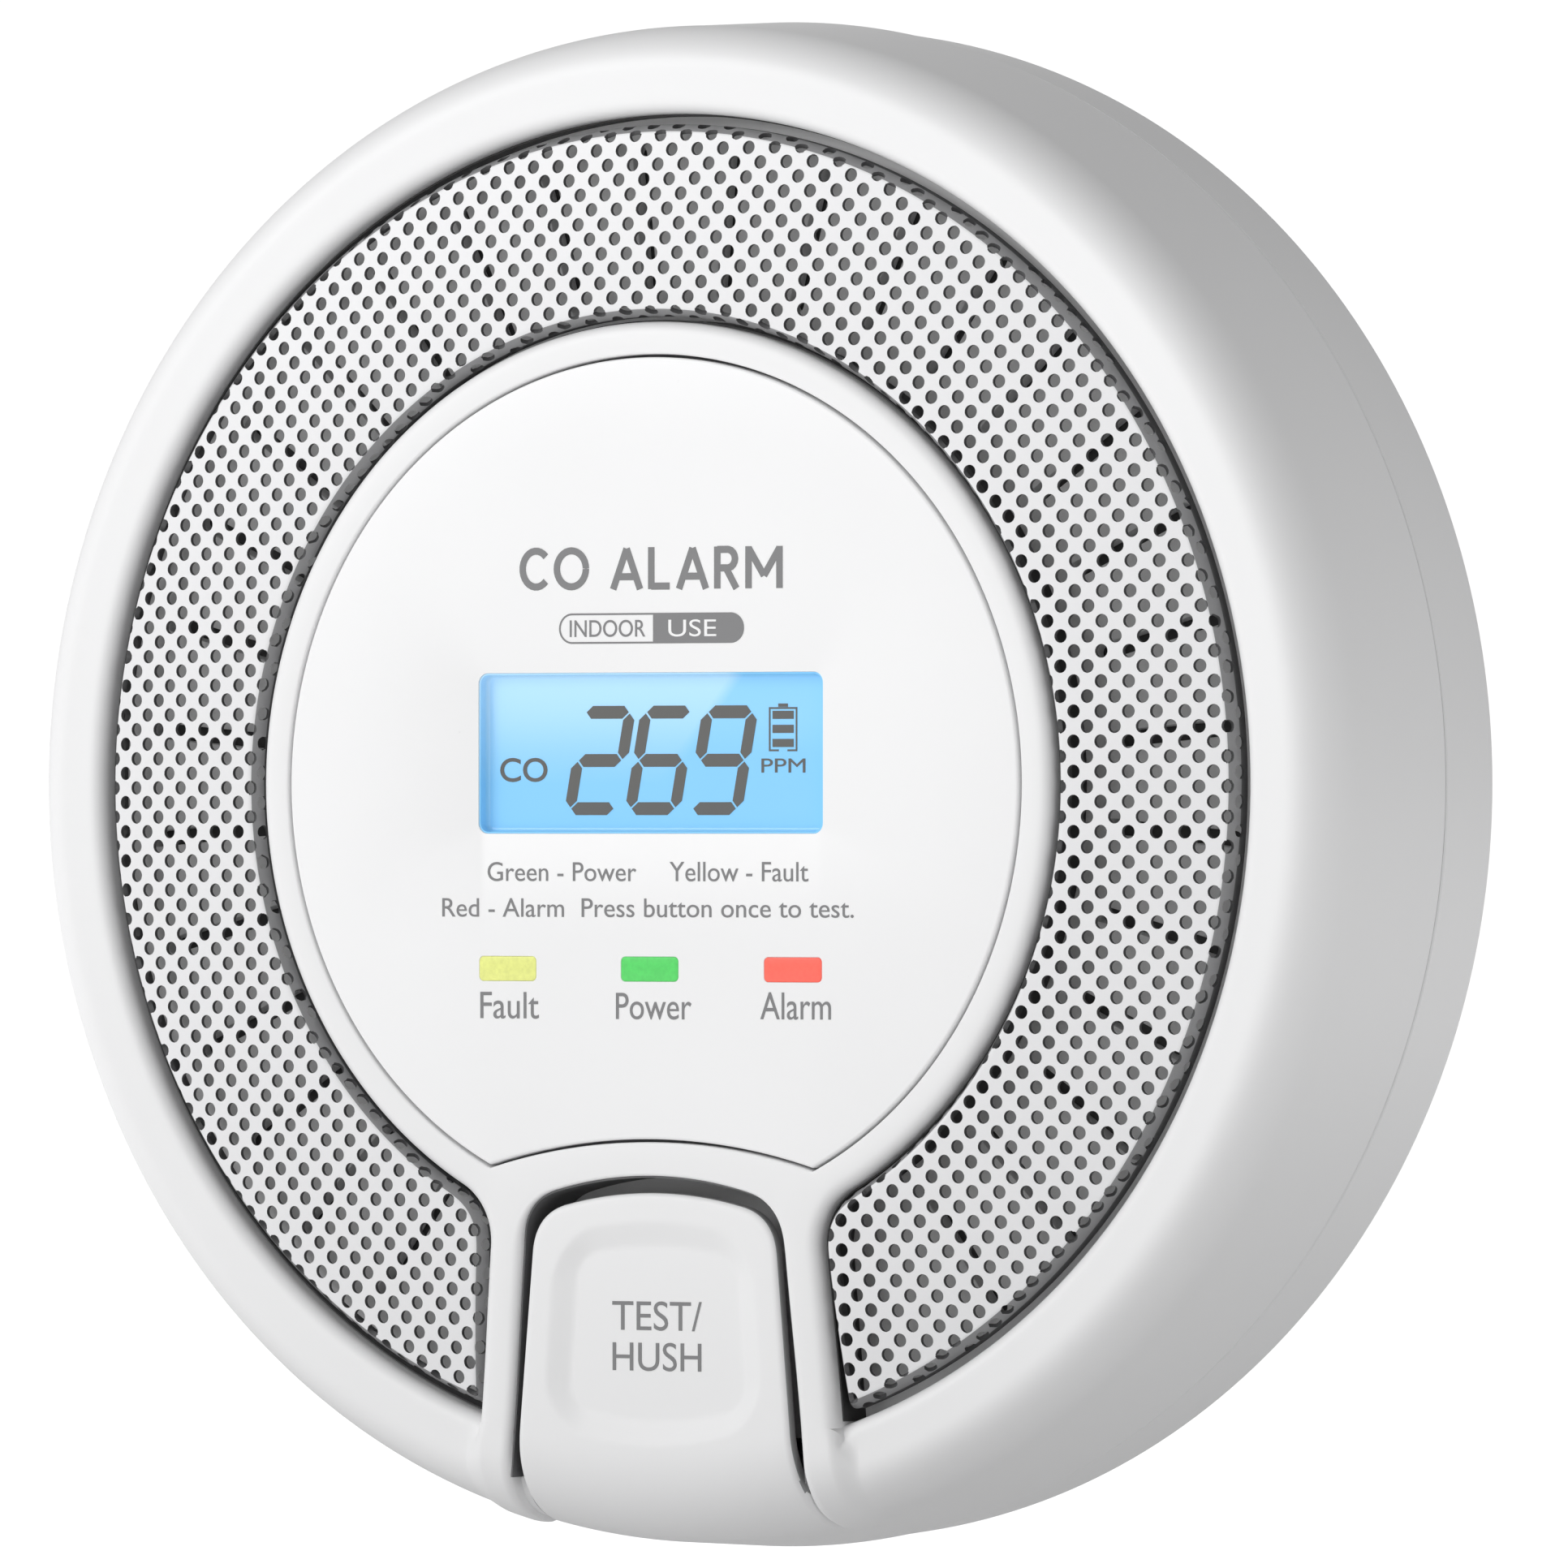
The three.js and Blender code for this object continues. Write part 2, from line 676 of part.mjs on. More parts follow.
function housingScrew([x, z]) {
  const headTop = plateTop + seatGap;
  const headLow = headTop - screwHeadHeight;
  const head = drum(screwHeadRadius, headLow, headTop, x, z);
  const shaft = drum(screwRadius, headTop - 0.2, headTop + screwLength, x, z, 12);
  const slot = (halfX, halfZ) => block(
    x - halfX, x + halfX, z - halfZ, z + halfZ, headLow - 1, headLow + driveDepth);
  return cut(join(head, shaft), slot(driveHalf, driveHalfWidth), slot(driveHalfWidth, driveHalf));
}

/** Wall ring: a plate with rims, two wall-screw slots and three bayonet hooks. */
function mountingBracket() {
  const ring = lathe([
    [bracketOpening, 0],
    [bracketRadius, 0],
    [bracketRadius, bracketDepth],
    [bracketRadius - rimWidth, bracketDepth],
    [bracketRadius - rimWidth, bracketPlate],
    [bracketOpening + rimWidth, bracketPlate],
    [bracketOpening + rimWidth, bracketDepth],
    [bracketOpening, bracketDepth],
  ]);
  const inner = hookRadius - hookThickness / 2;
  const outer = hookRadius + hookThickness / 2;
  const lipLow = plateTop + seatGap;
  const hooks = hookAngles.flatMap((angle) => [
    ringPart(inner, outer, bracketPlate - 0.5, lipLow + hookLipThickness, angle, hookAngle),
    ringPart(inner - hookLip, inner + 0.5, lipLow, lipLow + hookLipThickness, angle, hookAngle),
  ]);
  const slotEnd = (wallSlotLength - wallSlotWidth) / 2;
  const slots = [0, 180].flatMap((angle) => [
    spun(block(wallSlotRadius - wallSlotWidth / 2, wallSlotRadius + wallSlotWidth / 2,
      -slotEnd, slotEnd, -1, bracketPlate + 1), angle),
    spun(drum(wallSlotWidth / 2, -1, bracketPlate + 1, wallSlotRadius, slotEnd), angle),
    spun(drum(wallSlotWidth / 2, -1, bracketPlate + 1, wallSlotRadius, -slotEnd), angle),
  ]);
  return cut(join(ring, ...hooks), ...slots);
}

// ---------------------------------------------------------------- face

function faceplate() {
  const windows = [
    plate(displayOutline(seatGap), 0, crownHeight + 1),
    ...indicators.map(({ x }) => plate(ledOutline(x, seatGap), 0, crownHeight + 1)),
  ];
  const low = crownHeight - faceplateThickness;
  return cut(plate(faceplateOutline(0), low, crownHeight, 14), ...windows);
}

function displayWindow() {
  return plate(displayOutline(0), crownHeight - faceplateThickness, crownHeight);
}

/** Indicator window with the light pipe that reaches down to its LED. */
function ledWindow(x) {
  const low = boardTop + seatGap + chipHeight + seatGap;
  const stem = block(
    x - ledWidth / 2 + pipeInset, x + ledWidth / 2 - pipeInset,
    ledZ - ledHeight / 2 + pipeInset, ledZ + ledHeight / 2 - pipeInset,
    low, crownHeight - faceplateThickness + 0.2);
  return join(plate(ledOutline(x, 0), crownHeight - faceplateThickness, crownHeight), stem);
}

function ledChip(x) {
  const low = boardTop + seatGap;
  const body = block(
    x - chipWidth / 2, x + chipWidth / 2, ledZ - chipDepth / 2, ledZ + chipDepth / 2,
    low, low + chipHeight * 0.6);
  return join(body, drum(chipDome, low, low + chipHeight, x, ledZ));
}

/** Everything behind the button's curved skin, or behind a surface inset from it. */
function skinEnvelope(inset) {
  const front = buttonHeight - inset;
  const side = sideRadius(buttonFootHeight) - inset;
  const sideHeight = bodyDepth - shoulderDepth - 1;
  const start = shoulderRadius - buttonShoulder - inset * 0.5;
  return lathe([
    [0, 0],
    [0, front],
    ...shoulder(start, front, side - 0.1, sideHeight, 6),
    [side, buttonFootHeight],
    [side, 0],
  ]);
}

function testButton() {
  const skin = common(plate(buttonOutline, buttonFootHeight, crownHeight + 1, 6), skinEnvelope(0));
  const dishZ = (buttonTop + pivotZ) / 2;
  const dish = roundedRectangle(dishWidth, dishHeight, dishCorner, 0, dishZ);
  const dishTop = roundedRectangle(
    dishWidth + 2 * dishStep, dishHeight + 2 * dishStep, dishCorner + 1, 0, dishZ);
  const shell = cut(
    skin, skinEnvelope(buttonThickness),
    plate(dish, buttonHeight - dishDepth, crownHeight + 1),
    plate(dishTop, buttonHeight - dishDepth / 2, crownHeight + 1));
  const half = buttonHalf(pivotZ);
  const underside = buttonHeight - buttonThickness;
  const arm = (x0, x1) => block(
    x0, x1, pivotZ - armBelow, pivotZ + armAbove, pivotHeight - pinRadius - 0.6, underside + 0.6);
  const presser = drum(presserRadius, plungerTop + seatGap / 2, underside + 0.5, 0, switchZ, 12);
  return join(
    shell, presser,
    arm(half - armThickness, half - 0.05), arm(-half + 0.05, -half + armThickness),
    bar(pinRadius, half - armThickness, half + pinLength, pivotZ, pivotHeight),
    bar(pinRadius, -half - pinLength, -half + armThickness, pivotZ, pivotHeight));
}

// ---------------------------------------------------------------- display stack

const panelTop = crownHeight - faceplateThickness - seatGap;
const panelHalfWidth = displayWidth / 2 + displayMargin;
const panelHalfHeight = displayHeight / 2 + displayMargin;

function lcdPanel() {
  return block(-panelHalfWidth, panelHalfWidth, displayZ - panelHalfHeight,
    displayZ + panelHalfHeight, panelTop - panelThickness, panelTop);
}

function backlight() {
  const low = displayZ - panelHalfHeight + zebraWidth + seatGap;
  return block(-panelHalfWidth, panelHalfWidth, low, displayZ + panelHalfHeight,
    boardTop + seatGap, panelTop - panelThickness - seatGap);
}

function zebraConnector() {
  const low = displayZ - panelHalfHeight;
  return block(-panelHalfWidth + 2, panelHalfWidth - 2, low, low + zebraWidth,
    boardTop + seatGap, panelTop - panelThickness - seatGap);
}

function lcdHolder() {
  const grown = (gap, low, high) => block(
    -panelHalfWidth - gap, panelHalfWidth + gap,
    displayZ - panelHalfHeight - gap, displayZ + panelHalfHeight + gap, low, high);
  const frame = grown(seatGap + holderWall, boardTop + seatGap, deckBottom - seatGap);
  return cut(frame, grown(seatGap, 0, crownHeight));
}

// ---------------------------------------------------------------- electronics

function circuitBoard() {
  const disc = drum(boardRadius, boardBottom, boardTop, 0, 0, roundSides);
  const chamberCut = drum(chamberRadius + slideGap * 2, 0, crownHeight, chamberX, chamberZ);
  const edgeCut = block(chamberX, chamberX + 30, chamberZ - 9, chamberZ + 9, 0, crownHeight);
  const bossCuts = screwPlaces.map(([x, z]) => (
    drum(screwBossRadius + slideGap, 0, crownHeight, x, z)));
  const pivotCuts = block(
    -legHalf(pivotZ) - 1, legHalf(pivotZ) + 1, bottomZ, pivotZ + 5, 0, crownHeight);
  return cut(disc, chamberCut, edgeCut, pivotCuts, ...bossCuts);
}

function coSensor() {
  const can = drum(sensorRadius, partsTop - sensorLength, partsTop, sensorX, sensorZ, 32);
  const mouth = drum(
    filterRadius + seatGap, 0, partsTop - sensorLength + filterThickness, sensorX, sensorZ);
  return cut(can, mouth);
}

function sensorFilter() {
  const low = partsTop - sensorLength - 0.3;
  return drum(filterRadius, low, low + filterThickness, sensorX, sensorZ);
}

const chamberTop = floorBottom - seatGap;

function sounderChamber() {
  const cup = drum(chamberRadius, chamberTop - chamberDepth, chamberTop, chamberX, chamberZ, 24);
  const hollow = drum(
    chamberRadius - chamberWall, 0, chamberTop - chamberWall, chamberX, chamberZ, 24);
  const mouth = drum(chamberMouth, 0, crownHeight, chamberX, chamberZ);
  return cut(cup, hollow, mouth);
}

function piezoDisc() {
  const top = chamberTop - chamberDepth - seatGap;
  return drum(discRadius, top - discThickness, top, chamberX, chamberZ, 24);
}

const switchBase = boardTop + seatGap;
const switchTop = switchBase + switchHeight;
const plungerTop = switchTop + plungerRise;
const plungerFoot = switchBase + plungerStart;

function tactSwitch() {
  const half = switchSide / 2;
  const body = block(-half, half, switchZ - half, switchZ + half, switchBase, switchTop);
  const wellFoot = plungerFoot - 2 * slideGap;
  return cut(body, drum(plungerRadius + seatGap, wellFoot, crownHeight, 0, switchZ));
}

function switchPlunger() {
  return drum(plungerRadius, plungerFoot, plungerTop, 0, switchZ, 16);
}

/** A box-shaped part under the board, centred on x and z. */
function underBoard(width, depth, height, x, z) {
  return block(x - width / 2, x + width / 2, z - depth / 2, z + depth / 2,
    partsTop - height, partsTop);
}

function microcontroller() {
  return underBoard(controllerSide, controllerDepth, controllerHeight, 0, controllerZ);
}

function crystal() {
  return underBoard(crystalWidth, crystalLength, crystalHeight, crystalX, crystalZ);
}

function boostInductor() {
  return drum(inductorRadius, partsTop - inductorLength, partsTop, inductorX, inductorZ);
}

function capacitor(x) {
  return drum(capacitorRadius, partsTop - capacitorLength, partsTop, x, capacitorZ);
}

// ---------------------------------------------------------------- battery

function battery() {
  const end = batteryLength / 2;
  const body = bar(batteryRadius, -end, end - 1, batteryZ, batteryHeight, 28);
  const knob = bar(batteryKnob, end - 1.2, end, batteryZ, batteryHeight, 16);
  return join(body, knob);
}

/** Coil spring at the battery's flat end. */
function batterySpring() {
  const springEnd = springWire + 0.5; // wire's middle to what it presses on
  class Coil extends THREE.Curve {
    getPoint(share, target = new THREE.Vector3()) {
      const angle = 2 * Math.PI * springTurns * share;
      const radius = springWide + (springNarrow - springWide) * share;
      const x = cavityLeft + springEnd + (springLength - 2 * springEnd) * share;
      const z = batteryZ + radius * Math.cos(angle);
      return target.set(x, -batteryHeight + radius * Math.sin(angle), z);
    }
  }
  const section = new THREE.Shape();
  section.absarc(0, 0, springWire, 0, 2 * Math.PI, false);
  const options = { steps: 42, extrudePath: new Coil(), bevelEnabled: false, curveSegments: 3 };
  return join(new THREE.ExtrudeGeometry(section, options));
}

function batteryContact() {
  const right = cavityRight - seatGap;
  return block(
    right - bladeThickness, right, batteryZ - bladeHalfWidth, batteryZ + bladeHalfWidth,
    batteryHeight - bladeHalfWidth - 1, boardBottom - seatGap);
}

/** Battery door: a panel with a hinge knuckle and pins at its upper edge. */
function batteryDoor() {
  const [left, right] = [cavityLeft + slideGap, cavityRight - slideGap];
  const foot = cavityLow + slideGap;
  const inside = backHeight + doorThickness;
  const panel = block(left, right, foot, hingeZ, backHeight, inside);
  const knuckle = bar(doorKnuckle, left, right, hingeZ, hingeHeight);
  const pins = bar(
    doorPinRadius, cavityLeft - doorPinLength, cavityRight + doorPinLength, hingeZ, hingeHeight);
  const groove = (z) => block(-gripHalf, gripHalf, z, z + 1, backHeight - 1, backHeight + 0.6);
  const latch = block(
    -latchHalf, latchHalf, foot, foot + 1, backHeight + 0.5, inside + latchRise);
  const grooveZ = cavityLow + gripPitch;
  return cut(join(panel, knuckle, pins, latch), groove(grooveZ), groove(grooveZ + gripPitch));
}

// ---------------------------------------------------------------- assembly

function finish(color, roughness, metalness = 0) {
  return new THREE.MeshStandardMaterial({ color, roughness, metalness });
}

const whitePlastic = finish(0xf2f2f2, 0.5);
const greyPlastic = finish(0xb8b8b8, 0.6);
const blackPlastic = finish(0x202020, 0.6);
const boardGreen = finish(0x1d5b33, 0.5);
const steel = finish(0xb4b6ba, 0.3, 1);
const brass = finish(0xc9a24b, 0.35, 1);

const alarm = new THREE.Group();

function add(name, geometry, material) {
  const mesh = new THREE.Mesh(geometry, material);
  mesh.name = name;
  alarm.add(mesh);
}

add("mounting_bracket", mountingBracket(), whitePlastic);
add("rear_housing", rearHousing(), whitePlastic);
add("front_cover", frontCover(), whitePlastic);
add("grille", grille(), finish(0xe8e8e8, 0.45));
add("faceplate", faceplate(), finish(0xf8f8f8, 0.35));
add("lcd_window", displayWindow(), finish(0x9fd8ff, 0.1));
add("test_button", testButton(), whitePlastic);
for (const { name, x, color } of indicators) {
  add(`led_window_${name}`, ledWindow(x), finish(color, 0.4));
  add(`led_${name}`, ledChip(x), finish(color, 0.3));
}
add("lcd_panel", lcdPanel(), finish(0x8fb0a0, 0.15));
add("lcd_backlight", backlight(), finish(0xe8f4ff, 0.3));
add("zebra_connector", zebraConnector(), finish(0xe08fa8, 0.7));
add("lcd_holder", lcdHolder(), greyPlastic);
add("circuit_board", circuitBoard(), boardGreen);
add("co_sensor", coSensor(), finish(0xe9e6da, 0.5));
add("sensor_filter", sensorFilter(), finish(0x303030, 0.9));
add("sounder_chamber", sounderChamber(), blackPlastic);
add("piezo_disc", piezoDisc(), brass);
add("tact_switch", tactSwitch(), blackPlastic);
add("switch_plunger", switchPlunger(), greyPlastic);
add("microcontroller", microcontroller(), blackPlastic);
add("crystal", crystal(), steel);
add("boost_inductor", boostInductor(), finish(0x3a3a3a, 0.5));
add("capacitor_1", capacitor(-12), finish(0x2b3550, 0.4));
add("capacitor_2", capacitor(-4), finish(0x2b3550, 0.4));
add("battery", battery(), finish(0x3c6fae, 0.4));
add("battery_spring", batterySpring(), steel);
add("battery_contact", batteryContact(), steel);
add("battery_door", batteryDoor(), whitePlastic);
screwPlaces.forEach((place, i) => add(`housing_screw_${i + 1}`, housingScrew(place), steel));

export default alarm;
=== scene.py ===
"""Looks of the carbon monoxide alarm: fine casing, perforated grille, legend, display and stage.

The frame's axes are +Z up, the front towards -Y and the wall plane at y = 0. Shapes here are worked
out in millimetres as (x, z, h), where h is the distance from the wall plane, and become metres when
a mesh is made. The layout repeats the casing's driving sizes; overall sizes come from the frame.
"""
import math

import bmesh
import bpy
import numpy as np
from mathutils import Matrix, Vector
from mathutils.geometry import delaunay_2d_cdt
from mathutils.kdtree import KDTree


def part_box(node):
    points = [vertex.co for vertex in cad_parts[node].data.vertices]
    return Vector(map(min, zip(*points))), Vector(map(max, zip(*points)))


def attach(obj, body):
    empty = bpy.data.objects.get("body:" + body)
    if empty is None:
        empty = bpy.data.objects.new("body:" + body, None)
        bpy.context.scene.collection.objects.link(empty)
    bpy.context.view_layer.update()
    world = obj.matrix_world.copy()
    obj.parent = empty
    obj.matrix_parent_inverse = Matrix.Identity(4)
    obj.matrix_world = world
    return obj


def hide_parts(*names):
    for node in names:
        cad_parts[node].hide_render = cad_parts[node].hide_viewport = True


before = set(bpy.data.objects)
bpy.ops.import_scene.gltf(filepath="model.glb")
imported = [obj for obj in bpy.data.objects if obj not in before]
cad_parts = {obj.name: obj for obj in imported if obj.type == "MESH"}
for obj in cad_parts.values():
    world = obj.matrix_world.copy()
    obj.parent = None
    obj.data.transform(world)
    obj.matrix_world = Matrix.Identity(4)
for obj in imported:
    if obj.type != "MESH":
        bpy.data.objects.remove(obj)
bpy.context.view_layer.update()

MM = 0.001
WELD = 0.0005  # mm
EDGE_SMOOTH = 35.0  # degrees between faces that still look smooth
SHEET_SMOOTH = 50.0
LETTER_SMOOTH = 80.0

# ---------------------------------------------------------------- sizes, mm


def cad_box(node):
    """Lowest and highest (x, z, h) of a CAD node, in millimetres."""
    low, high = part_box(node)
    return (np.array([low[0], low[2], -high[1]]) / MM, np.array([high[0], high[2], -low[1]]) / MM)


BODY_RADIUS = cad_box("front_cover")[1][0]
CROWN = cad_box("faceplate")[1][2]  # front of the faceplate
CROWN_RISE = 1.6
FRONT = CROWN - CROWN_RISE  # front of the bezel
PARTING = 17.0
PARTING_GAP = 0.3
WALL = 2.0

OPENING_RADIUS = BODY_RADIUS - 7.15
LIP_ROUND = 1.1
SIDE_FLARE = 0.67  # how much wider the side gets from the shoulder to the parting line
SHOULDER_RADIUS = BODY_RADIUS - SIDE_FLARE
SHOULDER_WIDTH = 3.3
SHOULDER_DEPTH = 5.1
FLOOR_TOP = FRONT - 3.5
FLOOR_LOW = FLOOR_TOP - 1.5

FACEPLATE_RADIUS = cad_box("faceplate")[1][0]
FACEPLATE_THICKNESS = 1.2
FACEPLATE_GAP = 0.22
FACEPLATE_BOTTOM = 5.08 - FACEPLATE_RADIUS
FACEPLATE_ARC = 48.2
RING_RADIUS = FACEPLATE_RADIUS + 2.55
RING_ROUND = 1.0
RING_TOP = CROWN - 0.05
BRIDGE_WIDTH = 2.27

BUTTON_TOP_GAP = 1.2
BUTTON_SIDE_GAP = 0.75
BUTTON_HALF = 9.9
BUTTON_TAPER = 0.0857
BUTTON_ARC = 30.7
BUTTON_ROUND = 0.5
FLAP_THICKNESS = 0.95
FLANK_END = -50.5  # painted shade: the button's sides take the dark flank material above this height
DISH_DEPTH = 0.62
DISH_SLOPE = 1.75
DISH_HALF = 8.2  # half width where it is widest at the top
DISH_WIDE_Z = -32
DISH_TAPER = 0.078
DISH_TOP = -31.3
DISH_FOOT = -47.3
DISH_TOP_BEND = 0.017
DISH_FOOT_BEND = 0.02
DISH_CORNER = 3.4
BAY_TOP = FACEPLATE_BOTTOM - 0.35 - BRIDGE_WIDTH
BUTTON_TOP = BAY_TOP - BUTTON_TOP_GAP
BUTTON_FRONT = CROWN - 0.4
BUTTON_FOOT = cad_box("test_button")[0][2]
BAY_FOOT = BUTTON_FOOT - 0.15
SHADE_STRIP_FOOT = -49.8  # the painted shade strip in the gap ends at this height
BAY_CORNER = 2.4
SIDE_START = -46.0  # where the button's outline turns from its face to its curved sides
FOOT_HALF = 11.7  # half width near the foot
LEDGE_START = 51.2  # radius where the groove beside the button's foot begins
LEG_WIDTH = 2.85
LEG_FILLET = 4.5
LEG_RISE = 1.1
LEG_PROUD = 0.4
LEG_END_TOP = FRONT + LEG_RISE - 0.01  # just under the bezel's swelling over the leg
LEG_ROUND = 0.7  # width of the rounding towards the button
LEG_DROP = 0.6

SLOT_COUNT = 36  # round the whole channel floor
SLOT_WIDTH = 1.15
SLOTLESS_TURN = 28  # degrees either side of the button without slots

GRILLE_OUTER = OPENING_RADIUS - 0.75
GRILLE_INNER = RING_RADIUS + 0.55
GRILLE_LEG_GAP = 0.38
GRILLE_THICKNESS = 0.35
DOME_START = FACEPLATE_RADIUS - 0.8
DOME_TOP = CROWN + 0.08
DOME_FALL = CROWN_RISE + 0.19
GRILLE_BEND = 0.45
GRILLE_TURN = math.radians(62)  # the edge leans this far down before it turns upright
GRILLE_EASE = 0.8  # width that the bend and the lean take up
GRILLE_SKIRT = 0.9
HOLE_PITCH = 1.06066  # half the diagonal of the 1.5 mm hole grid
HOLE_RADIUS = 0.49
HOLE_SIDES = 16
HOLE_SHIFT = np.array([-0.03, -0.244])
HOLE_LIMIT = 0.3  # how far down the skirt hole centres may lie
EDGE_SHARE = 0.6  # of the bend, where painted shade on the rolled edge begins

DISPLAY_WIDTH = 28.84
DISPLAY_HEIGHT = 11.5
DISPLAY_Z = 2.19
DISPLAY_CORNER = 0.75
DISPLAY_DEPTH = 1.0
LED_WIDTH = 4.8
LED_HEIGHT = 1.78
LED_PITCH = 11.95
LED_Z = -13.25
PRINT_RAISE = 0.005  # above the surface it is printed on
PRINT_DEPTH = 0.02

# ---------------------------------------------------------------- mesh tools


class Shell:
    """Collects corners and faces, and welds corners that meet."""

    def __init__(self):
        self.corners = []
        self.faces = []
        self.count = 0

    def add(self, corners, faces):
        self.corners.append(np.asarray(corners, float).reshape(-1, 3))
        self.faces.extend(tuple(int(i) + self.count for i in face) for face in faces)
        self.count += len(self.corners[-1])

    def grid(self, rows, closed=False):
        """rows[i][j] is a corner; quads join neighbouring rows and columns."""
        rows = np.asarray(rows, float)
        high, wide = rows.shape[:2]
        faces = []
        for i in range(high - 1):
            for j in range(wide if closed else wide - 1):
                k = (j + 1) % wide
                faces.append((i * wide + j, i * wide + k, (i + 1) * wide + k, (i + 1) * wide + j))
        self.add(rows.reshape(-1, 3), faces)

    def turn_over(self):
        """Mirrors every height, so what was built facing the front faces the wall."""
        for corners in self.corners:
            corners[:, 2] *= -1

    def mesh(self, name):
        corners = np.vstack(self.corners)
        keys = np.round(corners / WELD).astype(np.int64)
        _, first, where = np.unique(keys, axis=0, return_index=True, return_inverse=True)
        where = where.reshape(-1)
        faces = []
        self.kept = []
        for number, face in enumerate(self.faces):
            joined = []
            for i in face:
                corner = int(where[i])
                if not joined or joined[-1] != corner:
                    joined.append(corner)
            if joined[0] == joined[-1]:
                joined.pop()
            if len(joined) > 2 and len(set(joined)) == len(joined):
                faces.append(joined)
                self.kept.append(number)
        spots = corners[first]
        metres = np.stack([spots[:, 0], -spots[:, 2], spots[:, 1]], axis=1) * MM
        mesh = bpy.data.meshes.new(name)
        mesh.from_pydata(metres.tolist(), [], faces)
        mesh.update()
        return mesh


def outward(mesh):
    """Turns every face outwards."""
    work = bmesh.new()
    work.from_mesh(mesh)
    bmesh.ops.recalc_face_normals(work, faces=work.faces)
    work.to_mesh(mesh)
    work.free()


def piece(name, mesh, looks, body, slot, replaced=None, smooth=EDGE_SMOOTH):
    """A finished object on its body, smooth except over sharp edges, in place of a CAD node."""
    outward(mesh)
    for look in looks:
        mesh.materials.append(look)
    mesh.shade_smooth()
    mesh.set_sharp_from_angle(angle=math.radians(smooth))
    thing = bpy.data.objects.new(name, mesh)
    bpy.context.scene.collection.objects.link(thing)
    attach(thing, body)
    if replaced:
        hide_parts(replaced)


def circle(radius, count, x=0.0, z=0.0, start=0.0):
    angles = start + np.arange(count) * 2 * math.pi / count
    return np.stack([x + radius * np.cos(angles), z + radius * np.sin(angles)], axis=1)


def arc(radius, start, end, count, x=0.0, z=0.0):
    angles = np.linspace(start, end, count)
    return np.stack([x + radius * np.cos(angles), z + radius * np.sin(angles)], axis=1)


def line(start, end, count):
    return np.linspace(np.asarray(start, float), np.asarray(end, float), count)


def rounded_box(width, height, corner, x=0.0, z=0.0, steps=8):
    half_x, half_z = width / 2 - corner, height / 2 - corner
    quarter = math.pi / 2
    corners = [(half_x, half_z, 0), (-half_x, half_z, 1), (-half_x, -half_z, 2), (half_x, -half_z, 3)]
    return np.vstack([
        arc(corner, turn * quarter, (turn + 1) * quarter, steps, x + dx, z + dz)
        for dx, dz, turn in corners
    ])


def spaced(path, step, closed=False):
    """The same path with points about a step apart."""
    path = np.asarray(path, float)
    if closed:
        path = np.vstack([path, path[:1]])
    lengths = np.hypot(*np.diff(path, axis=0).T)
    along = np.concatenate([[0], np.cumsum(lengths)])
    count = max(4, int(round(along[-1] / step)) + 1)
    marks = np.linspace(0, along[-1], count)
    result = np.stack([np.interp(marks, along, path[:, 0]), np.interp(marks, along, path[:, 1])], axis=1)
    return result[:-1] if closed else result


def left_normals(path, closed):
    """Unit normals to the left of the path at each point, mitred."""
    path = np.asarray(path, float)
    ahead = np.roll(path, -1, axis=0) - path
    behind = path - np.roll(path, 1, axis=0)
    if not closed:
        ahead[-1] = behind[-1]
        behind[0] = ahead[0]
    ahead /= np.linalg.norm(ahead, axis=1)[:, None]
    behind /= np.linalg.norm(behind, axis=1)[:, None]
    middle = ahead + behind
    middle /= np.linalg.norm(middle, axis=1)[:, None]
    stretch = 1 / np.clip((middle * ahead).sum(axis=1), 0.6, 1)
    return np.stack([-middle[:, 1], middle[:, 0]], axis=1) * stretch[:, None]


def area_of(loop):
    x, z = np.asarray(loop).T
    return 0.5 * float(np.sum(x * np.roll(z, -1) - z * np.roll(x, -1)))


def facing(loop, anticlockwise):
    return loop if (area_of(loop) > 0) == anticlockwise else loop[::-1]


def inside(points, loop):
    """Whether each point lies inside a closed loop."""
    x, z = np.asarray(points).T
    result = np.zeros(len(x), bool)
    ends = np.roll(loop, -1, axis=0)
    for (x0, z0), (x1, z1) in zip(loop, ends):
        if z0 == z1:
            continue
        crosses = (z0 > z) != (z1 > z)
        result ^= crosses & (x < (x1 - x0) * (z - z0) / (z1 - z0) + x0)
    return result


def meshed(loops, points=(), merge=1e-6):
    """Points, triangles and the triangles' middles, with every loop kept as edges."""
    flat, edges = [], []
    for loop in loops:
        start, count = len(flat), len(loop)
        flat.extend(Vector((float(x), float(z))) for x, z in loop)
        edges.extend((start + i, start + (i + 1) % count) for i in range(count))
    flat.extend(Vector((float(x), float(z))) for x, z in points)
    spots, _, faces, *_ = delaunay_2d_cdt(flat, edges, [], 0, merge)
    spots = np.array([tuple(spot) for spot in spots])
    faces = np.array([face for face in faces if len(face) == 3])
    return spots, faces, spots[faces].mean(axis=1)


def triangulated(loops, points=()):
    """Points and triangles of the region inside loops[0] and outside the other loops."""
    spots, faces, middles = meshed(loops, points, 1e-7)
    wanted = inside(middles, loops[0])
    for loop in loops[1:]:
        wanted &= ~inside(middles, loop)
    return spots, faces[wanted]


def cap(shell, loops, height):
    """Face inside loops[0] and outside the other loops; the height may be a formula."""
    spots, faces = triangulated(loops)
    shell.add(lifted(spots, height), faces)


def end_face(shell, ring):
    shell.add(ring, [tuple(range(len(ring)))])


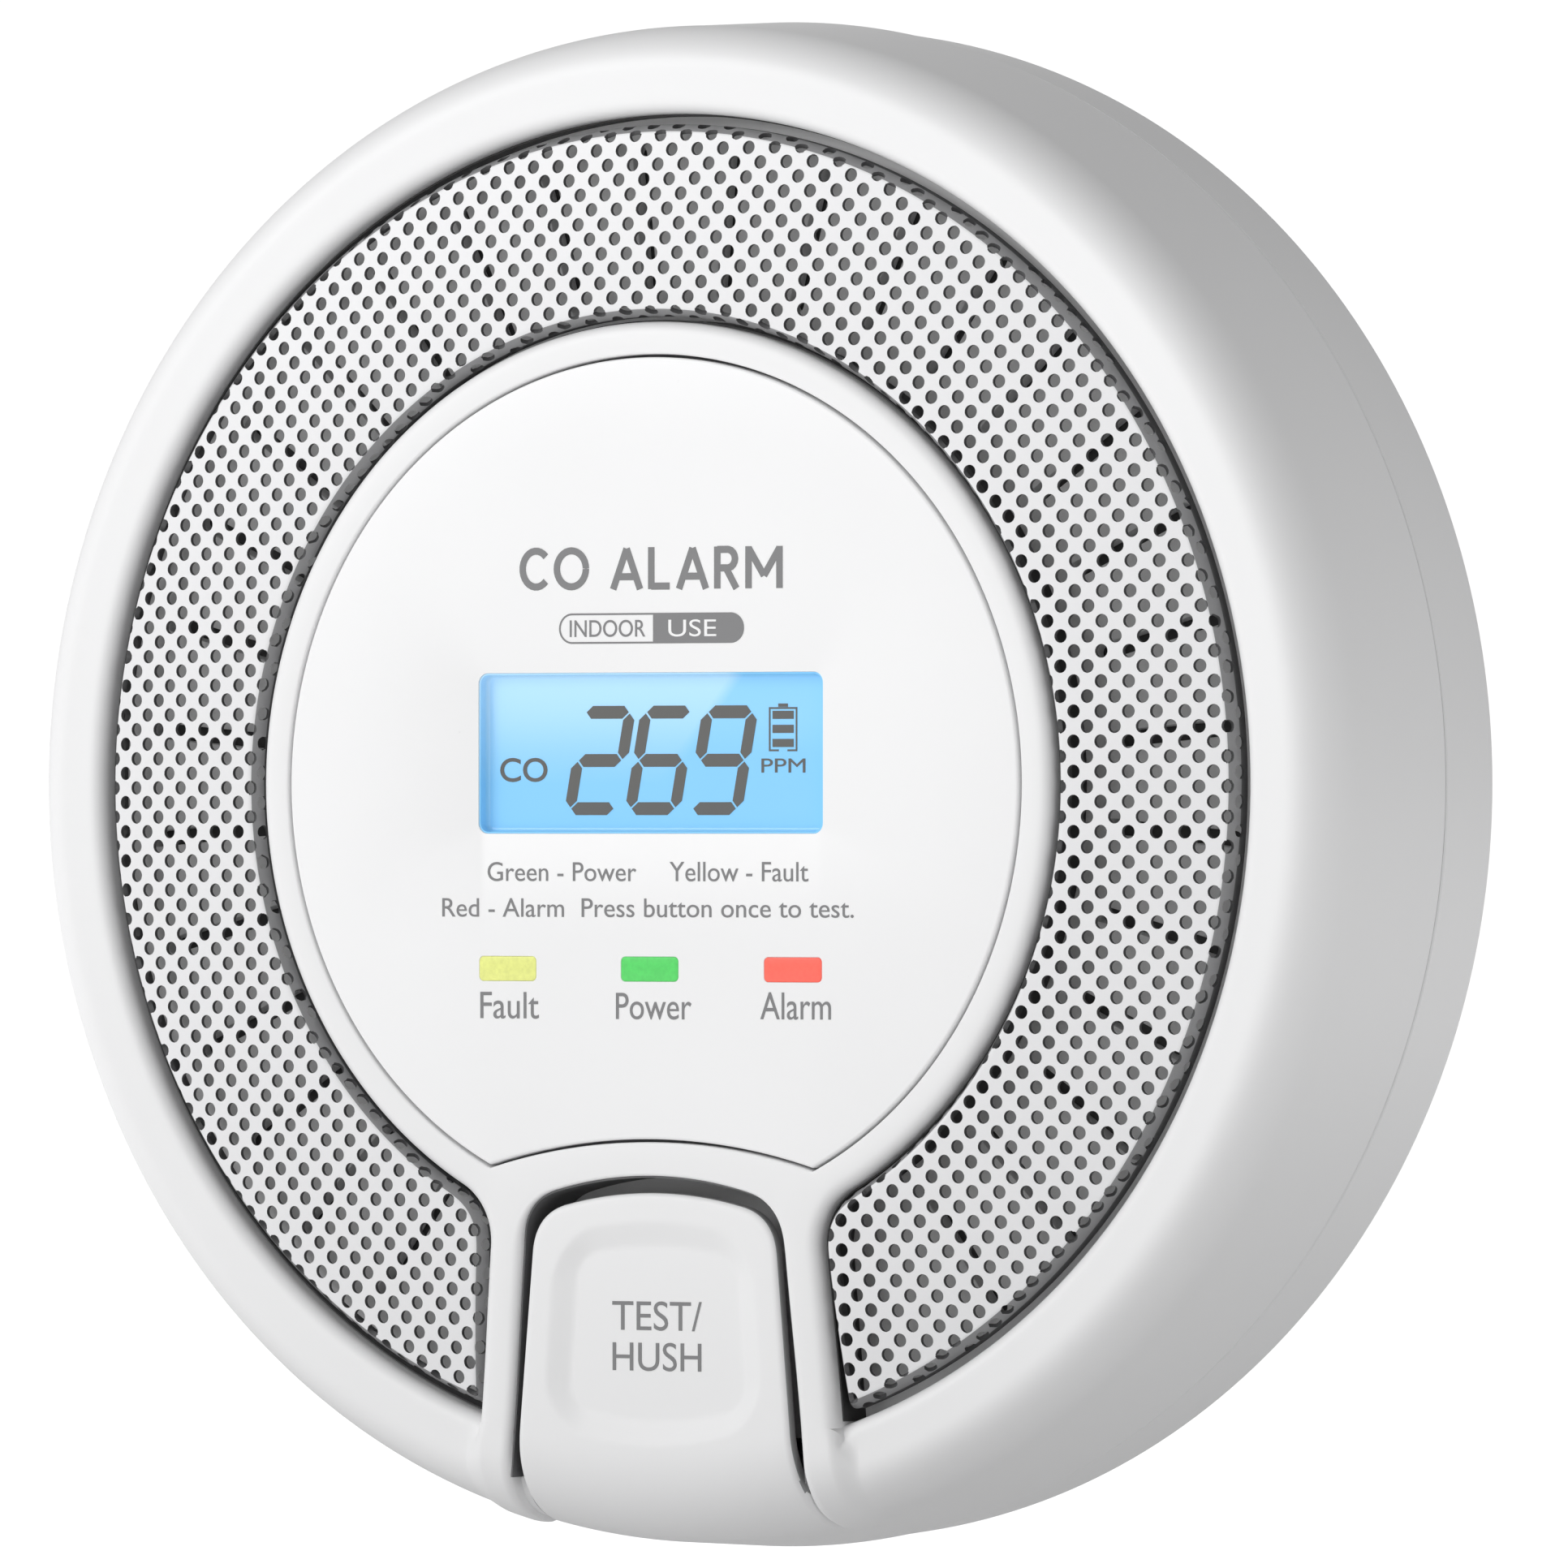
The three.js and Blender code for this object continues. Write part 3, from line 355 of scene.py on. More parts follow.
def edge_round(radius, drop, steps=6):
    """(inset, drop) pairs over a rounded edge, from the flank to the top."""
    angles = np.linspace(math.pi / 2, 0, steps + 1)
    return [(radius * (1 - math.sin(a)), drop * (1 - math.cos(a))) for a in angles]


def lifted(path, height):
    height = height(path[:, 0], path[:, 1]) if callable(height) else np.full(len(path), float(height))
    return np.column_stack([path, height])


def edge_rows(path, closed, top, low, round_steps, scale=1.0):
    """Rows of corners from the underside, up the flank and over the rounded edge."""
    scale = np.broadcast_to(scale, len(path))
    normals = left_normals(path, closed) * scale[:, None]
    rows = [lifted(path, low)]
    for inset, drop in round_steps:
        row = lifted(path + normals * inset, top)
        row[:, 2] -= drop * scale
        rows.append(row)
    return rows


def plate(shell, loops, rounds, top, low):
    """A closed plate with rounded edges; loops[0] is its outside and the others are holes."""
    tops, bottoms = [], []
    for index, (loop, steps) in enumerate(zip(loops, rounds)):
        loop = facing(np.asarray(loop, float), index == 0)
        rows = edge_rows(loop, True, top, low, steps)
        shell.grid(rows, closed=True)
        tops.append(rows[-1][:, :2])
        bottoms.append(loop)
    cap(shell, tops, top)
    cap(shell, bottoms, low)


def turned(shell, profile, count):
    """Ring made by turning a closed (radius, height) profile about the body's axis."""
    angles = np.arange(count) * 2 * math.pi / count
    rows = [np.column_stack([r * np.cos(angles), r * np.sin(angles), np.full(count, h)]) for r, h in profile]
    shell.grid(rows + [rows[0]], closed=True)


def quarter(radius, height, to_radius, to_height, steps=8, bulge_first="height"):
    """Quarter ellipse between two profile points; the first direction it takes is named."""
    points = []
    for i in range(steps + 1):
        a = math.pi / 2 * i / steps
        if bulge_first == "radius":
            points.append((radius + (to_radius - radius) * math.sin(a),
                           to_height + (height - to_height) * math.cos(a)))
        else:
            points.append((to_radius + (radius - to_radius) * math.cos(a),
                           height + (to_height - height) * math.sin(a)))
    return points


def smooth_step(value):
    value = np.clip(value, 0, 1)
    return value * value * (3 - 2 * value)


# ---------------------------------------------------------------- outlines from the front


def button_half(z, grow=0.0):
    return BUTTON_HALF + grow + (BUTTON_TOP - z) * BUTTON_TAPER


def leg_half(z, grow=0.0):
    return button_half(z, BUTTON_SIDE_GAP + LEG_WIDTH + grow)


def crest_height(x, z):
    """Height of the ring's and legs' top."""
    radius = np.hypot(x, z)
    share = np.clip((radius - RING_RADIUS) / (OPENING_RADIUS - RING_RADIUS), 0, None)
    return RING_TOP - (RING_TOP - LEG_END_TOP) * smooth_step(share)


def below_bay_top(z):
    """0 round the top of the button's bay, 1 along its sides."""
    return smooth_step((BAY_TOP - 1.6 - z) / 4)


def dome_height(radius):
    """Height of the slightly domed grille sheet."""
    share = (radius - DOME_START) / (GRILLE_OUTER - DOME_START)
    return DOME_TOP - DOME_FALL * share * share


def faceplate_outline(grow):
    """Circle cut off at the bottom by a wide arc; grow widens it all round."""
    radius, step = FACEPLATE_RADIUS + grow, 0.4
    bend = FACEPLATE_ARC - grow
    centre = FACEPLATE_BOTTOM - FACEPLATE_ARC
    corner_z = (radius ** 2 - bend ** 2 + centre ** 2) / (2 * centre)
    corner_x = math.sqrt(radius ** 2 - corner_z ** 2)
    right = math.atan2(corner_z, corner_x)
    round_part = arc(radius, right, math.pi - right, int(radius * 5.3 / step))
    turn = math.atan2(corner_x, corner_z - centre)
    bottom = arc(bend, math.pi / 2 + turn, math.pi / 2 - turn, int(27 / step), 0, centre)
    return np.vstack([round_part, bottom[1:-1]])


def bay_path(grow, top, corner, foot_z, step=0.35):
    """From low on the right, up round the arched top and down to low on the left."""
    centre = top - BUTTON_ARC
    half = button_half(top, grow)
    for _ in range(4):
        half = button_half(centre + math.sqrt(BUTTON_ARC ** 2 - half ** 2), grow)
    corner_z = centre + math.sqrt(BUTTON_ARC ** 2 - half ** 2)
    turn = math.asin((half - corner) / BUTTON_ARC)
    over = arc(BUTTON_ARC, math.pi / 2 - turn, math.pi / 2 + turn, 48, 0, centre)
    low = corner_z - corner * 1.1
    start, control, end = (button_half(low, grow), low), (half, corner_z), over[0]
    share = np.linspace(0, 1, 12)[:, None]
    bend = ((1 - share) ** 2 * np.array(start) + 2 * share * (1 - share) * np.array(control)
            + share ** 2 * np.array(end))
    side = line((button_half(foot_z, grow), foot_z), start, 60)
    half_path = np.vstack([side[:-1], bend[:-1]])
    mirrored = half_path[::-1] * np.array([-1, 1])
    return spaced(np.vstack([half_path, over, mirrored]), step)


def keyhole_path(grow, foot_radius, step=0.35):
    """From the right leg's foot, up its outer side, round the ring and down the left leg."""
    radius, fillet = RING_RADIUS + grow, LEG_FILLET - grow
    centre_z = -radius
    for _ in range(12):
        centre_x = leg_half(centre_z, grow) + fillet
        centre_z = -math.sqrt((radius + fillet) ** 2 - centre_x ** 2)
    foot_z = -foot_radius
    for _ in range(12):
        foot_z = -math.sqrt(foot_radius ** 2 - leg_half(foot_z, grow) ** 2)
    lean = math.atan(BUTTON_TAPER)
    centre_x = leg_half(centre_z, grow) + fillet / math.cos(lean)
    towards = math.atan2(-centre_z, -centre_x)
    side_end = (centre_x - fillet * math.cos(lean), centre_z - fillet * math.sin(lean))
    side = line((leg_half(foot_z, grow), foot_z), side_end, 60)
    bend = arc(fillet, math.pi + lean, towards, 24, centre_x, centre_z)
    meeting = math.atan2(bend[-1][1], bend[-1][0])
    half = np.vstack([side[:-1], bend[:-1]])
    over = arc(math.hypot(*bend[-1]), meeting, math.pi - meeting, 400)
    return spaced(np.vstack([half, over, half[::-1] * np.array([-1, 1])]), step)


# ---------------------------------------------------------------- casing


def side_radius(height):
    top = FRONT - SHOULDER_DEPTH
    return SHOULDER_RADIUS + SIDE_FLARE * (top - height) / (top - PARTING)


def bezel_profiles():
    """Profile of the plain bezel and of the same stretch over a leg, point for point."""
    start = SHOULDER_RADIUS - SHOULDER_WIDTH
    side_top = FRONT - SHOULDER_DEPTH
    lip_end = OPENING_RADIUS + LIP_ROUND
    flat_steps, shoulder_steps, foot_steps = 8, 22, 12
    plain = [(OPENING_RADIUS, FLOOR_LOW), (OPENING_RADIUS, FLOOR_TOP)]
    plain += quarter(OPENING_RADIUS, FRONT - LIP_ROUND - 0.1, lip_end, FRONT - 0.04, 8)
    lip_count = len(plain)
    for r in np.linspace(lip_end, start, flat_steps)[1:-1]:
        plain.append((r, FRONT - 0.04 * math.cos((r - lip_end) / (start - lip_end) * math.pi / 2)))
    plain += quarter(start, FRONT, SHOULDER_RADIUS, side_top, shoulder_steps, "radius")
    plain += [(side_radius(h), h) for h in np.linspace(side_top, BAY_FOOT, foot_steps)[1:]]
    leg_top, leg_start, leg_side = FRONT + LEG_RISE, start - 1.4, side_top - 0.6
    leg = [(OPENING_RADIUS, FLOOR_LOW), (OPENING_RADIUS, FLOOR_TOP)]
    leg += [(OPENING_RADIUS, h) for h in np.linspace(FRONT - LIP_ROUND, leg_top, lip_count - 2)]
    leg += [(r, leg_top) for r in np.linspace(OPENING_RADIUS, leg_start, flat_steps)[1:-1]]
    leg += quarter(leg_start, leg_top, SHOULDER_RADIUS + LEG_PROUD, leg_side, shoulder_steps, "radius")
    fade = np.linspace(1, 0, foot_steps)[1:] ** 2.2
    tail = np.linspace(leg_side, BAY_FOOT, foot_steps)[1:]
    leg += [(side_radius(h) + LEG_PROUD * f, h) for h, f in zip(tail, fade)]
    return np.array(plain), np.array(leg), lip_count


def profile_normals(profile, lip_count):
    """Outward (radius, height) normals; over the lip they point straight out of the face."""
    slopes = np.gradient(profile[lip_count:], axis=0)
    slopes /= np.linalg.norm(slopes, axis=1)[:, None]
    outwards = np.stack([-slopes[:, 1], slopes[:, 0]], axis=1)
    return np.vstack([np.tile([0.0, 1.0], (lip_count, 1)), outwards])


def bay_angle(radius):
    """Half the angle that the bay takes out of a circle."""
    z = -radius
    for _ in range(6):
        z = -math.sqrt(radius ** 2 - button_half(z, BUTTON_SIDE_GAP) ** 2)
    return math.asin(button_half(z, BUTTON_SIDE_GAP) / radius)


def bezel_row(radius, height, share, leg=None, drop=0.0, normal=(0, 1), softness=0.0):
    """Corners round the bezel at one profile point, from the bay's right side to its left side."""
    reach = radius if leg is None else leg[0]
    start = bay_angle(reach)
    angles = -math.pi / 2 + start + (2 * math.pi - 2 * start) * share
    radii, heights = np.full(len(angles), radius), np.full(len(angles), height)
    if leg is not None:
        x, z = reach * np.cos(angles), reach * np.sin(angles)
        away = np.where(z < 0, np.abs(x) - button_half(z, BUTTON_SIDE_GAP), 99)
        sunk = drop * (1 - np.sqrt(1 - np.clip(1 - away / LEG_ROUND, 0, 1) ** 2))
        over = np.clip((away - LEG_WIDTH + RING_ROUND) / RING_ROUND, 0, 1)
        edge_drop = RING_ROUND * 0.9 * (1 - np.sqrt(1 - over ** 2))
        rise = max(leg[1] - height, RING_ROUND * 0.9)
        crisp = np.where(away < LEG_WIDTH, 1 - edge_drop / rise, 0)
        soft = 1 - smooth_step((away - LEG_WIDTH + 0.6) / 1.7)
        swell = crisp + (soft - crisp) * softness
        radii = radius + (leg[0] - normal[0] * sunk - radius) * swell
        heights = height + (leg[1] - normal[1] * sunk - height) * swell
    return np.column_stack([radii * np.cos(angles), radii * np.sin(angles), heights])


def bezel():
    """Bezel and side wall as one closed shell, slotted for the button and swelling over the legs."""
    plain, leg, lip_count = bezel_profiles()
    normals = profile_normals(leg, lip_count)
    seam = PARTING + PARTING_GAP / 2
    inner_side, inner_top = SHOULDER_RADIUS - WALL, FRONT - SHOULDER_DEPTH
    lower = [(side_radius(h), h) for h in np.linspace(BAY_FOOT, seam + 0.12, 8)[1:]]
    lower += [(BODY_RADIUS - 0.12, seam), (BODY_RADIUS - WALL, seam), (inner_side, BAY_FOOT)]
    inner = [(inner_side, inner_top)]
    inner += quarter(inner_side, inner_top, SHOULDER_RADIUS - SHOULDER_WIDTH, FRONT - WALL, 6)[1:]
    inner += [(OPENING_RADIUS + 1.7, FRONT - WALL), (OPENING_RADIUS + 1.7, FLOOR_LOW)]
    edge = 0.02  # share of the circle that holds a leg, with fine columns
    fine = np.linspace(0, edge, 90, endpoint=False)
    share = np.concatenate([fine, np.linspace(edge, 1 - edge, 620), 1 - fine[::-1]])
    rows = []
    for index, ((r, h), swell) in enumerate(zip(plain, leg)):
        drop = LEG_DROP * float(index > 1) * (1 - 0.75 * smooth_step((index - lip_count - 6) / 26))
        softness = float(smooth_step((index - lip_count + 2) / 7))
        rows.append(bezel_row(r, h, share, swell, drop, normals[index], softness))
    rows += [bezel_row(r, h, share) for r, h in lower + inner]
    shell = Shell()
    shell.grid(rows + [rows[0]])
    foot_outer, foot_inner = len(plain) - 1, len(plain) + len(lower) - 1
    for column in (0, -1):  # the bay's side walls
        end_face(shell, [row[column] for row in rows[:foot_outer + 1] + rows[foot_inner:]])
    across = np.linspace(0, 1, 40)
    below = []  # the wall under the bay
    for row in rows[foot_outer:foot_inner + 1]:
        radius = math.hypot(row[0][0], row[0][1])
        begin, end = (math.atan2(corner[1], corner[0]) for corner in (row[0], row[-1]))
        angles = begin + (end - begin) * across
        below.append(np.column_stack([radius * np.cos(angles), radius * np.sin(angles),
                                      np.full(len(angles), row[0][2])]))
    shell.grid(below + [below[0]])
    return shell.mesh("cover_bezel")


def keyhole_frame():
    """Ring and legs, with rounded edges, ending against the bezel."""
    shell = Shell()
    low = FLOOR_LOW
    foot_radius = OPENING_RADIUS + 0.25  # a little way into the bezel
    outer = keyhole_path(0, foot_radius)
    foot_z = -foot_radius * math.cos(bay_angle(foot_radius))
    bay = bay_path(BUTTON_SIDE_GAP, BAY_TOP, BAY_CORNER, foot_z)[::-1]
    recess = faceplate_outline(FACEPLATE_GAP)[::-1]
    outer_rows = edge_rows(outer, False, crest_height, low, edge_round(RING_ROUND, RING_ROUND * 0.9, 7))
    softer = 0.35 + 0.65 * below_bay_top(bay[:, 1])  # crisp over the button's top
    bay_rows = edge_rows(bay, False, crest_height, low, edge_round(LEG_ROUND, LEG_DROP, 8), softer)
    recess_rows = edge_rows(recess, True, crest_height, low, edge_round(0.2, 0.2, 4))
    shell.grid(outer_rows)
    shell.grid(bay_rows)
    shell.grid(recess_rows, closed=True)
    top_loop = np.vstack([outer_rows[-1][:, :2], bay_rows[-1][:, :2]])
    cap(shell, [top_loop, recess_rows[-1][:, :2]], crest_height)
    cap(shell, [np.vstack([outer, bay]), recess], low)
    for first, second in ((outer_rows, bay_rows), (bay_rows, outer_rows)):
        end_face(shell, [row[-1] for row in first] + [row[0] for row in second[::-1]])
    return shell.mesh("cover_frame")


def bay_ledges():
    """Strips that turn the deep gap beside the button's foot into a groove that fades out."""
    shell = Shell()
    plain, _, lip_count = bezel_profiles()
    normals = profile_normals(plain, lip_count)
    first = int(np.argmax(plain[:, 0] > LEDGE_START))
    depths = 0.05 + 0.9 * (1 - smooth_step(np.linspace(0, 1.15, len(plain) - first)))
    for side in (1, -1):
        rows = []
        for spot, normal, depth in zip(plain[first:], normals[first:], depths):
            z = -spot[0] * math.cos(bay_angle(spot[0]))
            edge = button_half(z, BUTTON_SIDE_GAP)
            corners = []
            for inset, sunk in ((0.1, depth), (-0.7, depth), (-0.7, depth + 2.0), (0.1, depth + 2.0)):
                r, h = spot - normal * sunk
                x = edge + inset
                corners.append((side * x, -math.sqrt(r ** 2 - x ** 2), h))
            rows.append(corners)
        shell.grid(rows, closed=True)
        end_face(shell, rows[0])
        end_face(shell, rows[-1])
    return shell.mesh("cover_ledges")


def deck():
    """Plate behind the faceplate; its dark grey is painted shade in the gap round the faceplate."""
    shell = Shell()
    low, top = FLOOR_TOP + 2.2, CROWN - FACEPLATE_THICKNESS - 0.35
    plate(shell, [faceplate_outline(FACEPLATE_GAP + 0.4)], [edge_round(0.1, 0.1, 2)], top, low)
    return shell.mesh("cover_deck")


def strip(shell, path, low, top, thickness=0.1):
    """Thin upright wall along an open path; it thickens to the path's left."""
    beside = path + left_normals(path, False) * thickness
    rows = [lifted(path, low), lifted(path, top), lifted(beside, top), lifted(beside, low)]
    shell.grid(rows + [rows[0]])
    for end in (0, -1):
        end_face(shell, [row[end] for row in rows])


def bay_shade_strip():
    """Inner face of the gap round the button, darkened as painted shade."""
    shell = Shell()
    path = bay_path(BUTTON_SIDE_GAP - 0.03, BAY_TOP - 0.03, BAY_CORNER, SHADE_STRIP_FOOT)[::-1]
    strip(shell, path, FLOOR_LOW + 0.1,
          lambda x, z: crest_height(x, z) - 0.4 - 0.25 * below_bay_top(z), -0.1)
    return shell.mesh("bay_shade_strip")


def gap_shade_strips():
    """Near-black strips of painted shade on the inner faces of the gaps round the grille, under its floor's
    slots and at the parting line.
    """
    shell = Shell()
    strip(shell, keyhole_path(0.03, OPENING_RADIUS - 0.2), FLOOR_TOP - 0.1,
          lambda x, z: crest_height(x, z) - 1.5, -0.1)
    start = keyhole_path(0.1, OPENING_RADIUS)[0]
    angle = math.atan2(start[1], start[0])
    strip(shell, arc(OPENING_RADIUS - 0.03, angle, math.pi - angle, 320), FLOOR_TOP - 0.1, FRONT - 1.9)
    below = [circle(OPENING_RADIUS - 0.4, 160), circle(RING_RADIUS + 0.1, 120)]
    plate(shell, below, [edge_round(0.02, 0.02, 1)] * 2, FLOOR_LOW - 0.1, FLOOR_LOW - 0.4)
    half = PARTING_GAP / 2 + 0.1
    turned(shell, [(BODY_RADIUS - 1.7, PARTING - half), (BODY_RADIUS - 0.55, PARTING - half),
                   (BODY_RADIUS - 0.55, PARTING + half), (BODY_RADIUS - 1.7, PARTING + half)], 288)
    return shell.mesh("gap_painted_shade")


def bay_floor():
    """Plate across the bottom of the button's bay; its grey is painted shade seen down the gap."""
    shell = Shell()
    outline = bay_path(BUTTON_SIDE_GAP + 0.4, BAY_TOP + 0.4, BAY_CORNER, -OPENING_RADIUS + 1.2, 0.6)
    plate(shell, [outline], [edge_round(0.1, 0.1, 2)], FLOOR_TOP - 0.4, FLOOR_LOW)
    return shell.mesh("bay_floor")


def channel_floor():
    """Floor behind the grille, with its radial slots."""
    shell = Shell()
    legs = keyhole_path(-0.2, OPENING_RADIUS + 0.3, 1.0)
    ends = math.atan2(legs[0][1], legs[0][0])
    outer = arc(OPENING_RADIUS + 0.3, ends, math.pi - ends, 300)
    loop = np.vstack([outer[:-1], legs[::-1][:-1]])
    length, middle = GRILLE_OUTER - GRILLE_INNER - 2.6, (GRILLE_OUTER + GRILLE_INNER) / 2
    slots = []
    for i in range(SLOT_COUNT):
        degrees = (i + 0.5) * 360 / SLOT_COUNT
        if abs(degrees - 270) >= SLOTLESS_TURN:
            cos, sin = math.cos(math.radians(degrees)), math.sin(math.radians(degrees))
            turn = np.array([[cos, sin], [-sin, cos]])
            slots.append(rounded_box(length, SLOT_WIDTH, 0.5, middle, 0, 5) @ turn)
    crisp = edge_round(0.12, 0.12, 2)
    plate(shell, [loop] + slots, [crisp] * (len(slots) + 1), FLOOR_TOP, FLOOR_LOW)
    return shell.mesh("cover_floor")


# ---------------------------------------------------------------- grille


def grille_outlines():
    """Outlines of the C-shaped sheet at its bend: one closed loop."""
    inner = keyhole_path(GRILLE_LEG_GAP, GRILLE_OUTER, 0.5)
    start = math.atan2(inner[0][1], inner[0][0])
    outer = arc(GRILLE_OUTER, start, math.pi - start, 620)
    return facing(np.vstack([outer[:-1], inner[::-1][:-1]]), True)


def eased_corners(loop):
    """Rounds the sharp corners of a loop by averaging it over a short length."""
    reach, step = 0.8, 0.4
    loop = spaced(loop, step, closed=True)
    span = int(reach / step)
    total = sum(np.roll(loop, k, axis=0) for k in range(-span, span + 1))
    return total / (2 * span + 1)


def hole_centres(limit):
    """Centres of the diagonal hole grid inside a loop."""
    span = int(GRILLE_OUTER / HOLE_PITCH) + 4
    steps = range(-span, span + 1)
    grid = np.array([(i, j) for i in steps for j in steps if (i + j) % 2 == 0])
    centres = grid * HOLE_PITCH + HOLE_SHIFT
    return centres[inside(centres, limit)]


def nearest_centres(spots):
    """Centre of the hole grid's cell that holds each spot."""
    lattice = (spots - HOLE_SHIFT) / HOLE_PITCH
    near = np.round(lattice)
    off = lattice - near
    rows = np.flatnonzero(near.sum(axis=1) % 2)
    axis = (np.abs(off[rows, 0]) <= np.abs(off[rows, 1])).astype(int)
    near[rows, axis] += np.where(off[rows, axis] > 0, 1, -1)
    return near * HOLE_PITCH + HOLE_SHIFT


def grille():
    """Perforated sheet: the hole grid carries on over the rolled edge and down the skirt."""
    edge = eased_corners(grille_outlines())
    normals = left_normals(edge, True)
    bend_length, lean_length = edge_lengths()
    upright = bend_length + lean_length
    along = [upright + GRILLE_SKIRT, upright + HOLE_LIMIT, upright]
    along += [bend_length * share for share in (1.0, 0.8, 0.6, 0.4, 0.2, 0.0)] + [-0.2]
    rings = [edge + normals * (GRILLE_EASE - length) for length in along]
    rim, hole_limit = rings[:2]
    unit = circle(HOLE_RADIUS, HOLE_SIDES, start=math.pi / HOLE_SIDES)
    spots, faces, middles = meshed(rings + [unit + centre for centre in hole_centres(hole_limit)])
    centres = nearest_centres(middles)
    in_hole = np.linalg.norm(middles - centres, axis=1) < HOLE_RADIUS * 0.985
    faces = faces[inside(middles, rim) & ~(in_hole & inside(centres, hole_limit))]
    used, faces = np.unique(faces, return_inverse=True)
    spots, faces = spots[used], faces.reshape(-1, 3)
    front, back, lengths = bent_sheet(spots, edge)
    shell = Shell()
    thickened(shell, front, back, faces)
    mesh = shell.mesh("grille_mesh")
    looks = []  # 0 painted front, 1 painted shade on the hole walls, back and skirt, 2 painted shade on the rolled edge
    lengths = lengths[faces].mean(axis=1)
    for number in shell.kept:
        # painted shade: hole walls, back and skirt take material 1, the outer part of the bend material 2
        inner = number >= len(faces) or lengths[number] > upright
        looks.append(1 if inner else 2 if lengths[number] > bend_length * EDGE_SHARE else 0)
    mesh.polygons.foreach_set("material_index", looks)
    return mesh


def edge_lengths():
    """Lengths of sheet in the bend and in the straight lean after it."""
    lean = (GRILLE_EASE - GRILLE_BEND * math.sin(GRILLE_TURN)) / math.cos(GRILLE_TURN)
    return GRILLE_BEND * GRILLE_TURN, lean


def bent_sheet(spots, edge):
    """Front and back corners of the sheet, domed, rolled over the edge and down the skirt."""
    fine_edge = spaced(edge, 0.1, closed=True)
    fine_normals = left_normals(fine_edge, True)
    fine_normals /= np.linalg.norm(fine_normals, axis=1)[:, None]
    tree = KDTree(len(fine_edge))
    for index, (x, z) in enumerate(fine_edge):
        tree.insert((x, z, 0), index)
    tree.balance()
    nearest = np.array([tree.find((x, z, 0))[1] for x, z in spots])
    foot, normal = fine_edge[nearest], fine_normals[nearest]
    depth = ((spots - foot) * normal).sum(axis=1)
    bend_length, lean_length = edge_lengths()
    along = np.clip(GRILLE_EASE - depth, 0, None)
    angle = np.clip(along / GRILLE_BEND, 0, GRILLE_TURN)
    lean = np.clip(along - bend_length, 0, lean_length)
    below = np.clip(along - bend_length - lean_length, 0, None)
    flat = depth >= GRILLE_EASE
    near_radius = np.hypot(*(foot + normal * GRILLE_EASE).T)
    base = np.where(flat, dome_height(np.hypot(*spots.T)), dome_height(near_radius))
    results = []
    for sunk in (0.0, GRILLE_THICKNESS):
        reach = GRILLE_BEND - sunk
        inset = GRILLE_EASE - reach * np.sin(angle) - lean * math.cos(GRILLE_TURN)
        xz = np.where(flat[:, None], spots, foot + normal * inset[:, None])
        drop = GRILLE_BEND - reach * np.cos(angle) + lean * math.sin(GRILLE_TURN) + below
        height = np.where(flat, base - sunk, base - drop)
        results.append(np.column_stack([xz, height]))
    return results + [along]


# ---------------------------------------------------------------- face


def faceplate():
    """Round panel with its arc, the display window and the three indicator windows."""
    shell = Shell()
    window = rounded_box(DISPLAY_WIDTH, DISPLAY_HEIGHT, DISPLAY_CORNER, 0, DISPLAY_Z)
    loops = [faceplate_outline(0), window]
    loops += [rounded_box(LED_WIDTH, LED_HEIGHT, 0.35, x, LED_Z) for x in (-LED_PITCH, 0, LED_PITCH)]
    rounds = [edge_round(0.22, 0.2, 4), edge_round(0.06, 0.06, 2)] + [edge_round(0.03, 0.03, 1)] * 3
    plate(shell, loops, rounds, CROWN, CROWN - FACEPLATE_THICKNESS)
    return shell.mesh("faceplate_panel")


def led_window(x):
    """Clear tile that fills an indicator window."""
    shell = Shell()
    outline = rounded_box(LED_WIDTH - 0.03, LED_HEIGHT - 0.03, 0.34, x, LED_Z)
    plate(shell, [outline], [edge_round(0.07, 0.05, 3)], CROWN + 0.01, CROWN - 1.4)
    return shell.mesh(f"indicator_{x:.0f}")


def display_tray():
    """Display face with its low side walls, seen through the faceplate's window."""
    shell = Shell()
    outer = rounded_box(DISPLAY_WIDTH - 0.02, DISPLAY_HEIGHT - 0.02, DISPLAY_CORNER, 0, DISPLAY_Z)
    outer = facing(outer, True)
    normals = left_normals(outer, True)
    face = CROWN - DISPLAY_DEPTH
    rows = [lifted(outer, face - 0.5), lifted(outer, CROWN - 0.1)]
    rows.append(lifted(outer + normals * 0.1, CROWN - 0.1))
    for angle in np.linspace(0, math.pi / 2, 6):
        inset = 0.1 + 0.3 * (1 - math.cos(angle))
        rows.append(lifted(outer + normals * inset, face + 0.3 - 0.3 * math.sin(angle)))
    shell.grid(rows, closed=True)
    cap(shell, [rows[-1][:, :2]], face)
    cap(shell, [outer], face - 0.5)
    return shell.mesh("display_face")


def strokes(shell, loop, height):
    """A flat printed or etched shape, as a thin closed plate."""
    loop = facing(np.asarray(loop, float), True)
    shell.grid([lifted(loop, height), lifted(loop, height + PRINT_DEPTH)], closed=True)
    for level in (height, height + PRINT_DEPTH):
        cap(shell, [loop], level)


SEGMENTS = {"2": "abged", "6": "acdefg", "9": "abcdfg"}


